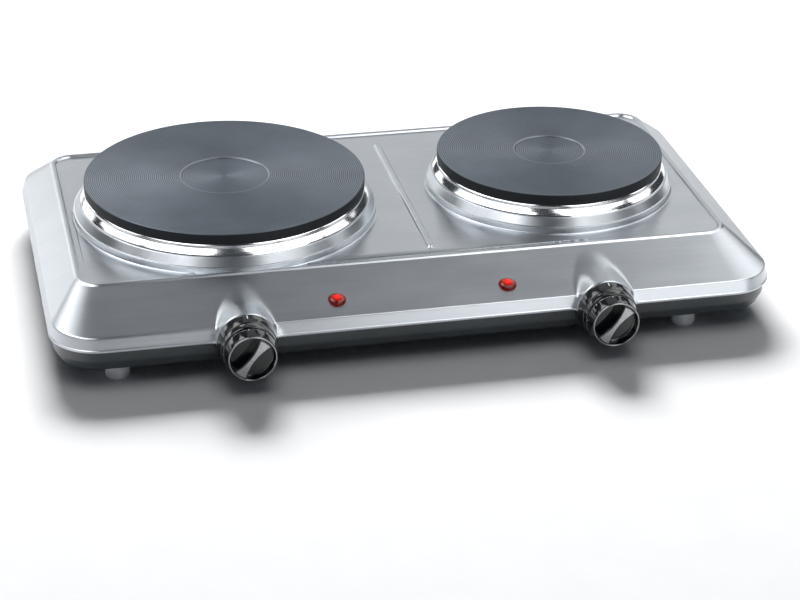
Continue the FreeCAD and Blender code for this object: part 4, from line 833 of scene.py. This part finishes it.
def turned_face_tree(material, sizes):
    """A round face whose height is a function of the radius: grooves, and a recess in the middle."""
    group, size = new_tree("turned_face", sizes)
    sheet = add(group, "GeometryNodeMeshGrid", {"Size X": 1.0, "Size Y": 1.0,
                                                "Vertices X": size["Rows"],
                                                "Vertices Y": size["Steps"]})
    flat = add(group, "ShaderNodeSeparateXYZ",
               {"Vector": add(group, "GeometryNodeInputPosition").outputs[0]}).outputs
    share = calculate(group, "ADD", flat["X"], 0.5)
    radius = calculate(group, "MULTIPLY", share, size["Face Radius"])
    angle = calculate(group, "MULTIPLY", calculate(group, "ADD", flat["Y"], 0.5), 2 * math.pi)
    phase = calculate(group, "MULTIPLY", calculate(group, "DIVIDE", radius, size["Groove Pitch"]),
                      2 * math.pi)
    ripple = calculate(group, "SUBTRACT", calculate(group, "COSINE", phase), 1.0)
    depth = calculate(group, "MULTIPLY", size["Groove Depth"], 0.5)
    edge = calculate(group, "MULTIPLY", calculate(group, "SUBTRACT", 1.0, share), 60.0)
    faded = calculate(group, "MULTIPLY", depth, calculate(group, "MINIMUM", edge, 1.0))
    grooves = calculate(group, "MULTIPLY", ripple, faded)
    wall = add(group, "ShaderNodeMapRange",
               {"Value": calculate(group, "SUBTRACT", size["Recess Radius"], radius),
                "From Min": 0.0, "From Max": size["Recess Slope"], "To Min": 0.0,
                "To Max": size["Recess Depth"]}, interpolation_type="SMOOTHSTEP")
    height = calculate(group, "SUBTRACT", calculate(group, "ADD", size["Top"], grooves),
                       wall.outputs["Result"])
    x = calculate(group, "MULTIPLY", radius, calculate(group, "COSINE", angle))
    y = calculate(group, "MULTIPLY", radius, calculate(group, "SINE", angle))
    place = add(group, "ShaderNodeCombineXYZ", {"X": calculate(group, "ADD", x, size["Centre X"]),
                                                "Y": calculate(group, "ADD", y, size["Centre Y"]),
                                                "Z": height})
    face = add(group, "GeometryNodeSetPosition", {"Geometry": sheet.outputs["Mesh"],
                                                  "Position": place.outputs[0]})
    both = add(group, "GeometryNodeJoinGeometry")
    source = next(node for node in group.nodes if node.bl_idname == "NodeGroupInput")
    group.links.new(source.outputs["Geometry"], both.inputs[0])
    group.links.new(face.outputs[0], both.inputs[0])
    welded = add(group, "GeometryNodeMergeByDistance", {"Geometry": both.outputs[0],
                                                       "Distance": 0.01 * MM})
    end_tree(group, welded.outputs[0], material)
    return group


for size, (centre_x, centre_y, plate_radius) in plates.items():
    centre = (centre_x, centre_y)
    iron, tree, shader = new_finish("cast_iron_" + size, metallic=0.72, anisotropic=0.6,
                                    specular_ior_level=0.5)
    _, away = round_place(tree, centre)
    turns = calculate(tree, "MULTIPLY", away, 2 * math.pi / TURNED_PITCH)
    ridge = add(tree, "ShaderNodeMapRange", {"Value": calculate(tree, "COSINE", turns),
                                             "From Min": -1.0}).outputs[0]
    # Round the edge of the middle recess the face is made lighter: a painted highlight on the recess's
    # step.
    past_recess = calculate(tree, "SUBTRACT", away, RECESS_RADII[size] - 0.3 * MM)
    off_recess = calculate(tree, "ABSOLUTE", past_recess)
    recess_edge_highlight = add(tree, "ShaderNodeMapRange", {"Value": off_recess, "From Max": 0.9 * MM,
                                                "To Min": 1.0, "To Max": 0.0}).outputs[0]
    blotches = noise(tree, 38, 0, 1, 5.0)
    pores = noise(tree, 1500, 0, 1, 2.0)
    turned_colour = shade(tree, between(tree, 0.16, ridge, blotches),
                          (0.026, 0.033, 0.041), (0.172, 0.207, 0.248))
    # The painted highlight along the recess edge is mixed into the face's colour here.
    face_colour = shade(tree, recess_edge_highlight, turned_colour, (0.30, 0.32, 0.34))
    upward = add(tree, "ShaderNodeSeparateXYZ",
                 {"Vector": add(tree, "ShaderNodeNewGeometry").outputs["Normal"]}).outputs["Z"]
    on_face = add(tree, "ShaderNodeMapRange", {"Value": upward, "From Min": 0.35,
                                               "From Max": 0.8}).outputs[0]
    tree.links.new(shade(tree, on_face, (0.020, 0.023, 0.026), face_colour),
                   shader.inputs["Base Color"])
    face_rough = noise_round(tree, centre, 900, 0.33, 0.43)
    tree.links.new(between(tree, on_face, 0.62, face_rough), shader.inputs["Roughness"])
    lathe_lines = noise_round(tree, centre, 2400, 0, 1, 4.0)
    bump(tree, shader, between(tree, 0.3, lathe_lines, pores), 0.008 * MM)
    lathe_tangent(tree, shader, centre)
    bottom, top = (corner.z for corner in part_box("plate_" + size))
    body = plate_radius - PLATE_BODY_INSET
    face_radius = plate_radius - PLATE_SHOULDER
    groove_width, rib, groove_depth = HEATER_GROOVE
    line = [(0, bottom)]
    for k in reversed(range(HEATER_GROOVES)):
        outer = body - rib - k * (groove_width + rib)
        line += [(outer - groove_width, bottom), (outer - groove_width, bottom + groove_depth),
                 (outer, bottom + groove_depth), (outer, bottom)]
    line += rounded([(body - rib / 2, bottom), (body, bottom, 0.6 * MM), (body, PLATE_UNDER_RIM),
                     (plate_radius - 0.1 * MM, PLATE_UNDER_RIM, 0.5 * MM),
                     (plate_radius, top - 0.4 * MM, 0.9 * MM),
                     (plate_radius - 0.5 * MM, top, 0.5 * MM), (face_radius, top)])
    place = Matrix.Translation((centre_x, centre_y, 0))
    plate = mesh_object("iron_plate_" + size, *turned(line, PLATE_STEPS, place), iron)
    rows = 1 + round(face_radius / TURNED_PITCH * ROWS_PER_GROOVE)
    sizes = {"Rows": rows, "Steps": PLATE_STEPS + 1, "Face Radius": face_radius,
             "Groove Pitch": TURNED_PITCH, "Groove Depth": TURNED_DEPTH, "Top": top,
             "Recess Radius": RECESS_RADII[size], "Recess Slope": RECESS_SLOPE,
             "Recess Depth": RECESS_DEPTH,
             "Centre X": centre_x, "Centre Y": centre_y}
    grow(plate, turned_face_tree(iron, sizes), sizes)
    close_shells(plate)
    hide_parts("plate_" + size)
    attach(plate, "housing")


# ---- knob bezels ---------------------------------------------------------------------------------
# A fixed ring in front of each bulge, moulded in black plastic and snapped into the round opening
# by its spigot. It has a wide skirt, a step and a narrower nose, and a white printed tick on top.
BEZEL_SKIRT = 8.5 * MM
BEZEL_LENGTH = 13.5 * MM
BEZEL_RADIUS = 19.0 * MM
BEZEL_BORE = 6.2 * MM
SPIGOT_DEPTH = 5.0 * MM
SPIGOT_OUTSIDE, SPIGOT_INSIDE = 15.2 * MM, 13.6 * MM
BEZEL_WALL = 1.6 * MM
TICK_HALF = 0.35 * MM
KNOB_STEPS = 128


def facing_front(x, y, z):
    """The turn and place that point what is drawn along +Z forwards from (x, y, z)."""
    return Matrix.Translation((x, y, z)) @ Matrix.Rotation(math.radians(90), 4, "X")


def glossy_plastic(name, colour, low, high, grain_depth):
    """Moulded plastic: a clear gloss, faintly uneven, with fine rubbing marks from handling."""
    material, tree, shader = new_finish(name, base_color=colour, coat_weight=0.6, coat_ior=1.6,
                                        coat_roughness=0.07, specular_ior_level=0.45)
    tree.links.new(noise(tree, (260, 260, 90), low, high, 5.0), shader.inputs["Roughness"])
    dark = tuple(0.8 * c for c in colour)
    tree.links.new(shade(tree, noise(tree, 120, 0, 1), dark, colour),
                   shader.inputs["Base Color"])
    bump(tree, shader, noise(tree, 420, 0, 1, 2.0), grain_depth)
    return material


bezel_finish = glossy_plastic("bezel_plastic", (0.016, 0.0175, 0.0185), 0.10, 0.20, 0.004 * MM)
print_finish, tree, shader = new_finish("white_print", roughness=0.5)
tree.links.new(shade(tree, noise(tree, 1500, 0, 1), (0.62, 0.63, 0.63),
                     (0.80, 0.80, 0.80)), shader.inputs["Base Color"])
for side, (knob_x, knob_z) in knob_places.items():
    line = rounded([(SPIGOT_INSIDE, BEZEL_LENGTH - BEZEL_WALL), (SPIGOT_INSIDE, -SPIGOT_DEPTH),
                    (SPIGOT_OUTSIDE, -SPIGOT_DEPTH), (SPIGOT_OUTSIDE, 0),
                    (BEZEL_RADIUS, 0, 0.3 * MM), (BEZEL_RADIUS, 1.2 * MM, 1.2 * MM),
                    (18.55 * MM, 5.0 * MM, 9.0 * MM), (17.9 * MM, BEZEL_SKIRT, 0.5 * MM),
                    (17.3 * MM, BEZEL_SKIRT + 0.15 * MM, 0.15 * MM),
                    (17.45 * MM, BEZEL_SKIRT + 0.6 * MM, 0.3 * MM),
                    (17.2 * MM, BEZEL_LENGTH, 0.7 * MM), (BEZEL_BORE, BEZEL_LENGTH),
                    (BEZEL_BORE, BEZEL_LENGTH - BEZEL_WALL),
                    (SPIGOT_INSIDE, BEZEL_LENGTH - BEZEL_WALL)])
    place = facing_front(knob_x, boss_front, knob_z)
    bezel = close_shells(mesh_object(side + "_bezel_ring", *turned(line, KNOB_STEPS, place),
                                     bezel_finish))
    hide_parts(side + "_knob_bezel")
    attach(bezel, "housing")
    points = []
    for depth, radii in ((1.6 * MM, (18.7, 19.03)), (4.8 * MM, (18.3, 18.72))):
        points += [place @ Vector((aside, radius * MM, depth)) for radius in radii
                   for aside in (-TICK_HALF, TICK_HALF)]
    faces = [(0, 1, 5, 4), (2, 6, 7, 3), (0, 2, 3, 1), (4, 5, 7, 6), (0, 4, 6, 2), (1, 3, 7, 5)]
    tick = close_shells(mesh_object(side + "_bezel_tick", points, faces, print_finish))
    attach(tick, "housing")


# ---- knobs ---------------------------------------------------------------------------------------
# Two turned controls in gloss black plastic: a drum with a dished face and a bow-tie grip across
# it. Each presses onto the flat of its thermostat's shaft and turns with it.
KNOB_RADIUS = 16.6 * MM
KNOB_FACE = 15.2 * MM
KNOB_DEPTH = 9.8 * MM
KNOB_DISH = 14.3 * MM
DISH_FLOOR = 4.2 * MM
GRIP_WAIST = 2.3 * MM
GRIP_END = 4.7 * MM
GRIP_PROUD = 0.8 * MM
GRIP_ANGLE = math.radians(38)
INLAY_MARGIN = 1.0 * MM
INLAY_SINK = 0.5 * MM
RIM_DEPTH = 1.0 * MM
HUB_RADIUS = 5.5 * MM
HUB_REACH = 8.0 * MM
HUB_BORE = (3.06 * MM, 3.0 * MM)        # radius, and depth past the knob's back
DRUM_HOLLOW = (15.0 * MM, 2.6 * MM)      # radius and depth of the hollow in the knob's back


def bow_tie(margin, height, steps=14):
    """A ring of points round the grip's outline, taken in by the margin, at that height."""
    reach, end, waist = KNOB_DISH - margin, GRIP_END - margin, GRIP_WAIST - margin
    corner = math.sqrt(reach ** 2 - end ** 2)
    swing = math.asin(end / reach)
    right = [(waist + (end - waist) * (2 * k / steps - 1) ** 2, corner * (2 * k / steps - 1))
             for k in range(steps)]
    top = [(reach * math.sin(swing * (1 - 2 * k / steps)),
            reach * math.cos(swing * (1 - 2 * k / steps))) for k in range(steps)]
    half = right + top
    ring = half + [(-x, -y) for x, y in half]
    c, s = math.cos(-GRIP_ANGLE), math.sin(-GRIP_ANGLE)
    return [Vector((x * c - y * s, x * s + y * c, height)) for x, y in ring]


def lofted(rings, place):
    """Points and faces of a closed solid through rings of points, capped at both ends."""
    count = len(rings[0])
    points = [place @ p for ring in rings for p in ring]
    faces = strip_faces(len(rings), count)
    faces += [tuple(range(count - 1, -1, -1)),
              tuple(range(count * (len(rings) - 1), count * len(rings)))]
    return points, faces


def join(name, shapes, material, sharp=math.radians(40)):
    """One piece from several closed solids, each a pair of points and faces."""
    points, faces = [], []
    for solid_points, solid_faces in shapes:
        faces += [tuple(len(points) + k for k in face) for face in solid_faces]
        points += solid_points
    return close_shells(mesh_object(name, points, faces, material, sharp))


def numbers_tree(material, text, sizes):
    """Printed numbers round a drum: one glyph at each step of the angle, tops to the back."""
    group, size = new_tree("dial_numbers", sizes)
    glyphs = add(group, "GeometryNodeStringToCurves", {"String": text, "Size": size["Glyph Size"]})
    filled = add(group, "GeometryNodeFillCurve", {"Curve": glyphs.outputs["Curve Instances"]})
    thick = add(group, "GeometryNodeExtrudeMesh", {"Mesh": filled.outputs[0],
                                                  "Offset Scale": size["Print Depth"],
                                                  "Individual": False})
    zeroed = add(group, "GeometryNodeSetPosition", {"Geometry": thick.outputs["Mesh"],
                                                   "Position": (0, 0, 0)})
    # A glyph starts at its lower left corner, and its middle is 0.31 of the size along and up.
    back = calculate(group, "MULTIPLY", size["Glyph Size"], -0.31)
    lift = add(group, "ShaderNodeCombineXYZ", {"X": back, "Y": back, "Z": size["Radius"]})
    raised = add(group, "GeometryNodeTranslateInstances", {"Instances": zeroed.outputs[0],
                                                          "Translation": lift.outputs[0]})
    number = add(group, "GeometryNodeInputIndex").outputs[0]
    turn = calculate(group, "ADD", calculate(group, "MULTIPLY", number, size["Step"]),
                     size["First"])
    swing = add(group, "ShaderNodeCombineXYZ", {"Y": turn})
    spread = add(group, "GeometryNodeRotateInstances", {"Instances": raised.outputs[0],
                                                       "Rotation": swing.outputs[0],
                                                       "Local Space": False})
    real = add(group, "GeometryNodeRealizeInstances", {"Geometry": spread.outputs[0]})
    centre = add(group, "ShaderNodeCombineXYZ", {"X": size["Centre X"], "Y": size["Front"],
                                                 "Z": size["Centre Z"]})
    placed = add(group, "GeometryNodeTransform", {"Geometry": real.outputs[0],
                                                 "Translation": centre.outputs[0]})
    end_tree(group, placed.outputs[0], material)
    return group


knob_finish = glossy_plastic("knob_plastic", (0.010, 0.0112, 0.012), 0.07, 0.15, 0.003 * MM)
chrome_finish, tree, shader = new_finish("knob_chrome", metallic=1.0, base_color=(0.32, 0.33, 0.34))
tree.links.new(noise(tree, 300, 0.06, 0.12), shader.inputs["Roughness"])
bump(tree, shader, noise(tree, 900, 0, 1), 0.001 * MM)
inlay_finish, tree, shader = new_finish("brushed_inlay", metallic=1.0)
lines = noise(tree, 2200, 0, 1, 2.0)
tree.links.new(shade(tree, lines, (0.36, 0.37, 0.38), (0.50, 0.51, 0.52)),
               shader.inputs["Base Color"])
tree.links.new(noise(tree, 700, 0.22, 0.36), shader.inputs["Roughness"])
bump(tree, shader, lines, 0.004 * MM)
for side, (knob_x, knob_z) in knob_places.items():
    grip_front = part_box(side + "_knob")[0].y
    knob_back = grip_front + GRIP_PROUD + KNOB_DEPTH
    place = facing_front(knob_x, knob_back, knob_z)
    rebate = KNOB_DEPTH - RIM_DEPTH
    bore, bore_end = HUB_BORE
    hollow, hollow_end = DRUM_HOLLOW
    drum = turned(rounded([(0, DISH_FLOOR), (KNOB_DISH, DISH_FLOOR, 1.6 * MM), (KNOB_DISH, rebate),
                           (KNOB_FACE - 0.02 * MM, rebate), (KNOB_FACE + 0.25 * MM, rebate, 0.2 * MM),
                           (KNOB_FACE + 0.75 * MM, KNOB_DEPTH * 0.6, 4.0 * MM),
                           (KNOB_RADIUS, 1.6 * MM, 2.0 * MM), (KNOB_RADIUS - 0.1 * MM, 0, 0.6 * MM),
                           (hollow, 0), (hollow, hollow_end), (HUB_RADIUS, hollow_end),
                           (HUB_RADIUS, -HUB_REACH, 0.4 * MM), (bore, -HUB_REACH),
                           (bore, bore_end), (0, bore_end)]), KNOB_STEPS, place)
    crest = KNOB_DEPTH + GRIP_PROUD
    grip = lofted([bow_tie(0.02 * MM, DISH_FLOOR - 0.3 * MM), bow_tie(0.02 * MM, crest - 0.55 * MM),
                   bow_tie(0.12 * MM, crest - 0.22 * MM), bow_tie(0.34 * MM, crest - 0.03 * MM),
                   bow_tie(0.55 * MM, crest), bow_tie(INLAY_MARGIN, crest),
                   bow_tie(INLAY_MARGIN, crest - INLAY_SINK)], place)
    knob = join(side + "_knob_moulding", [drum, grip], knob_finish)
    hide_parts(side + "_knob")
    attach(knob, side + "_knob_body")

    rim = turned(rounded([(KNOB_DISH + 0.45 * MM, rebate), (KNOB_FACE, rebate),
                          (KNOB_FACE + 0.02 * MM, KNOB_DEPTH, 0.35 * MM),
                          (KNOB_DISH, KNOB_DEPTH, 0.35 * MM), (KNOB_DISH, rebate),
                          (KNOB_DISH + 0.45 * MM, rebate)]), KNOB_STEPS, place)
    rim = join(side + "_knob_ring", [rim], chrome_finish)
    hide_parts(side + "_knob_rim")
    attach(rim, side + "_knob_body")

    margin = INLAY_MARGIN + 0.05 * MM
    inlay = lofted([bow_tie(margin, crest - INLAY_SINK), bow_tie(margin, crest - 0.12 * MM),
                    bow_tie(margin + 0.12 * MM, crest - 0.01 * MM)], place)
    inlay = join(side + "_grip_inlay", [inlay], inlay_finish, math.radians(30))
    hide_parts(side + "_knob_inlay")
    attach(inlay, side + "_knob_body")

    sizes = {"Glyph Size": 2.3 * MM, "Print Depth": 0.05 * MM, "Radius": KNOB_RADIUS - 0.02 * MM,
             "Step": math.radians(-45), "First": GRIP_ANGLE, "Centre X": knob_x,
             "Front": knob_back - 2.4 * MM, "Centre Z": knob_z}
    numbers = mesh_object(side + "_dial_numbers", [], [], print_finish)
    grow(numbers, numbers_tree(print_finish, "0123456", sizes), sizes)
    close_shells(numbers)
    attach(numbers, side + "_knob_body")


# ---- indicator lamps -----------------------------------------------------------------------------
# A red polycarbonate lens for each plate, pushed through the front skirt and held by a clip behind
# it. Its dome is cut in facets, and the neon tube in its barrel glows through the middle.
LENS_RADIUS = 5.9 * MM
LENS_FLANGE = 0.8 * MM
LENS_DOME = 3.0 * MM
LENS_FACETS = 12
LENS_LIP = 0.75 * MM
BARREL_RADIUS, BARREL_BORE = 4.4 * MM, 3.4 * MM
BARREL_LENGTH = 8.0 * MM
FACET_RISE = 26                   # degrees round the dome from one row of facets to the next
lens_finish, tree, shader = new_finish("red_lens", specular_ior_level=0.25, coat_weight=0.15,
                                       coat_roughness=0.03)
flat_place = add(tree, "ShaderNodeUVMap", uv_map="lens").outputs["UV"]
away = add(tree, "ShaderNodeVectorMath", {0: flat_place}, operation="LENGTH").outputs["Value"]
glow = add(tree, "ShaderNodeMapRange", {"Value": away, "From Min": 0.12, "From Max": 0.78,
                                        "To Min": 1.0, "To Max": 0.0},
           interpolation_type="SMOOTHSTEP").outputs["Result"]
tree.links.new(shade(tree, glow, (0.22, 0.004, 0.003), (0.60, 0.012, 0.008)),
               shader.inputs["Base Color"])
tree.links.new(shade(tree, glow, (0.24, 0.002, 0.001), (0.72, 0.020, 0.010)),
               shader.inputs["Emission Color"])
strength = add(tree, "ShaderNodeMapRange", {"Value": glow, "To Min": 0.12, "To Max": 1.0})
tree.links.new(strength.outputs["Result"], shader.inputs["Emission Strength"])
tree.links.new(noise(tree, 300, 0.08, 0.16), shader.inputs["Roughness"])
bump(tree, shader, noise(tree, 500, 0, 1), 0.004 * MM)
for side, lamp_x in lamp_places.items():
    on_surface = Vector((lamp_x, shoulder_front + LAMP_ABOVE,
                         SHOULDER_HEIGHT + LAMP_ABOVE * skirt_slope + 0.03 * MM))
    place = Matrix.Translation(on_surface) @ Matrix.Rotation(tilt, 4, "X")
    dome_radius = LENS_RADIUS - LENS_LIP
    flange = rounded([(BARREL_BORE, -BARREL_LENGTH), (BARREL_RADIUS, -BARREL_LENGTH),
                      (BARREL_RADIUS, 0), (LENS_RADIUS, 0, 0.1 * MM),
                      (LENS_RADIUS, LENS_FLANGE, 0.3 * MM), (dome_radius, LENS_FLANGE)])
    dome = [(dome_radius, LENS_FLANGE)]
    for k, widened in ((1, 1.0), (2, 1.0), (3, 1.3)):
        swing = math.radians(FACET_RISE * k)
        dome.append((dome_radius * math.cos(swing) * widened,
                     LENS_FLANGE + (LENS_DOME - LENS_FLANGE) * math.sin(swing)))
    dome.append((0, LENS_DOME))
    inside = [(BARREL_BORE, -BARREL_LENGTH), (BARREL_BORE, 0.2 * MM), (2.0 * MM, 1.0 * MM),
              (0, 1.3 * MM)]
    shapes = [turned(flange, 4 * LENS_FACETS, place), turned(dome, LENS_FACETS, place),
              turned(inside, 4 * LENS_FACETS, place)]
    lens = join(side + "_red_lens", shapes, lens_finish, math.radians(9))
    back = place.inverted()
    layer = lens.data.uv_layers.new(name="lens")
    for loop in lens.data.loops:
        local = back @ lens.data.vertices[loop.vertex_index].co
        layer.data[loop.index].uv = (local.x / LENS_RADIUS, local.y / LENS_RADIUS)
    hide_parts(side + "_lamp_lens")
    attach(lens, "housing")


# ---- feet ----------------------------------------------------------------------------------------
# Four soft feet of pale, slightly cloudy silicone rubber. Each is moulded round the seat of the
# screw that holds it under the base pan, and its lower edge is rounded.
FOOT_STEPS = 64
FOOT_BORE = 4.0 * MM
SCREW_HOLE = 2.25 * MM
SCREW_SEAT = 7.6 * MM             # height of the face that the screw's head pulls on
foot_finish, tree, shader = new_finish("pale_silicone", subsurface_weight=0.35,
                                       specular_ior_level=0.4)
shader.inputs["Subsurface Radius"].default_value = (3 * MM, 3 * MM, 3 * MM)
tree.links.new(shade(tree, noise(tree, 180, 0, 1), (0.84, 0.85, 0.86),
                     (0.90, 0.91, 0.92)), shader.inputs["Base Color"])
tree.links.new(noise(tree, 400, 0.36, 0.50), shader.inputs["Roughness"])
bump(tree, shader, noise(tree, 700, 0, 1), 0.01 * MM)
for name in ("front_left_foot", "front_right_foot", "back_left_foot", "back_right_foot"):
    low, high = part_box(name)
    radius = (high.x - low.x) / 2
    line = rounded([(FOOT_BORE, 3.0 * MM), (FOOT_BORE, low.z, 0.5 * MM),
                    (radius - 0.2 * MM, low.z, 2.4 * MM), (radius, 3.4 * MM, 2.0 * MM),
                    (radius - 0.5 * MM, high.z, 0.3 * MM), (SCREW_HOLE, high.z),
                    (SCREW_HOLE, SCREW_SEAT), (FOOT_BORE, SCREW_SEAT), (FOOT_BORE, 3.0 * MM)])
    place = Matrix.Translation((*middle(name)[:2], 0))
    foot = join(name + "_pad", [turned(line, FOOT_STEPS, place)], foot_finish)
    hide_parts(name)
    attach(foot, "housing")


# ---- cable gland ---------------------------------------------------------------------------------
# The bush that the supply lead would pass through: matt black nylon, pushed into the pad at the
# back and held by a snap ring. Three grooves round its flange let it be gripped.
GLAND_STEPS = 72
GLAND_BORE, GLAND_BARREL, GLAND_FLANGE = 3.4 * MM, 4.8 * MM, 6.2 * MM
GLAND_THICKNESS = 3.0 * MM
GRIP_GROOVES = 3
GROOVE_PITCH = 0.75 * MM
GROOVE_SINK = 0.25 * MM
gland_finish, tree, shader = new_finish("black_nylon", specular_ior_level=0.4)
tree.links.new(shade(tree, noise(tree, 300, 0, 1), (0.016, 0.017, 0.018),
                     (0.030, 0.031, 0.032)), shader.inputs["Base Color"])
tree.links.new(noise(tree, 500, 0.42, 0.58), shader.inputs["Roughness"])
bump(tree, shader, noise(tree, 1400, 0, 1), 0.015 * MM)
line = [(GLAND_BORE, 0.8 * MM), (GLAND_BORE, -3.9 * MM), (GLAND_BARREL, -3.9 * MM),
        (GLAND_BARREL + 0.5 * MM, -3.0 * MM), (GLAND_BARREL, -1.6 * MM), (GLAND_BARREL, 0),
        (GLAND_FLANGE, 0)]
for groove in range(GRIP_GROOVES):
    start = 0.3 * MM + GROOVE_PITCH * groove
    sunk = GLAND_FLANGE - GROOVE_SINK
    line += [(GLAND_FLANGE, start), (sunk, start + 0.18 * MM), (sunk, start + 0.36 * MM),
             (GLAND_FLANGE, start + 0.54 * MM)]
line += [(GLAND_FLANGE - 0.3 * MM, GLAND_THICKNESS), (GLAND_BORE + 0.8 * MM, GLAND_THICKNESS),
         (GLAND_BORE, 2.2 * MM), (GLAND_BORE, 0.8 * MM)]
gland_x, _, gland_z = middle("cable_gland")
flange_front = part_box("cable_gland")[1].y - GLAND_THICKNESS
place = (Matrix.Translation((gland_x, flange_front, gland_z))
         @ Matrix.Rotation(math.radians(-90), 4, "X"))
gland = join("cable_bush", [turned(line, GLAND_STEPS, place)], gland_finish, math.radians(30))
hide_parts("cable_gland")
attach(gland, "housing")


# ---- works inside the housing --------------------------------------------------------------------
# What the two pressings hold: plate heaters, clamps and terminals, thermostats on their brackets,
# lamp tubes, the mains block and its wires. Each keeps its part's own shape and only gets its finish.
def works_finish(name, dark, light, low, high, cells, depth, metal=False):
    """A plain finish: its two tones, the range of its roughness, and its grain and its depth."""
    detail, coarser = (4.0, 2) if metal else (3.0, 3)
    material, tree, shader = new_finish(name, metallic=float(metal), specular_ior_level=0.45)
    tone = noise(tree, cells, 0, 1, detail)
    tree.links.new(shade(tree, tone, dark, light), shader.inputs["Base Color"])
    tree.links.new(noise(tree, cells / coarser, low, high), shader.inputs["Roughness"])
    bump(tree, shader, tone, depth)
    return material


METAL = True
WORKS_FINISHES = {
    # slot: name, dark and light tone, roughness from and to, cells per metre, relief
    "galvanised_steel": ("galvanised_sheet", (0.42, 0.44, 0.46), (0.62, 0.64, 0.66), 0.32, 0.55,
                         110, 0.01 * MM, METAL),
    "plated_steel": ("zinc_plated_steel", (0.50, 0.51, 0.52), (0.68, 0.69, 0.70), 0.22, 0.38,
                     600, 0.004 * MM, METAL),
    "contact_brass": ("contact_brass", (0.62, 0.45, 0.17), (0.78, 0.60, 0.27), 0.24, 0.40,
                      500, 0.004 * MM, METAL),
    "ceramic_white": ("glazed_ceramic", (0.74, 0.73, 0.69), (0.83, 0.82, 0.79), 0.30, 0.50,
                      900, 0.01 * MM),
    "heater_compound": ("heater_compound", (0.36, 0.34, 0.31), (0.50, 0.48, 0.44), 0.75, 0.92,
                        1300, 0.05 * MM),
    "block_white": ("block_nylon", (0.74, 0.75, 0.74), (0.84, 0.85, 0.84), 0.38, 0.52,
                    700, 0.01 * MM),
    "wire_brown": ("brown_insulation", (0.15, 0.06, 0.03), (0.21, 0.09, 0.045), 0.40, 0.55,
                   800, 0.01 * MM),
    "wire_blue": ("blue_insulation", (0.03, 0.09, 0.36), (0.045, 0.13, 0.46), 0.40, 0.55,
                  800, 0.01 * MM),
    "wire_white": ("white_insulation", (0.70, 0.70, 0.68), (0.82, 0.82, 0.80), 0.45, 0.60,
                   800, 0.01 * MM),
}
slot_finishes = {slot: works_finish(*values) for slot, values in WORKS_FINISHES.items()}
tube_glass, tree, shader = new_finish("neon_tube", transmission_weight=0.7)
tree.links.new(shade(tree, noise(tree, 400, 0, 1), (0.95, 0.45, 0.30), (1.0, 0.62, 0.45)),
               shader.inputs["Base Color"])
tree.links.new(noise(tree, 300, 0.04, 0.12), shader.inputs["Roughness"])
slot_finishes["lamp_glass"] = tube_glass
for row in frame["record"]["subparts"]:
    node = frame["nodes"][row["node"]]
    if not node.hide_render:
        node.data.materials.clear()
        node.data.materials.append(slot_finishes[row["material_slot"]])
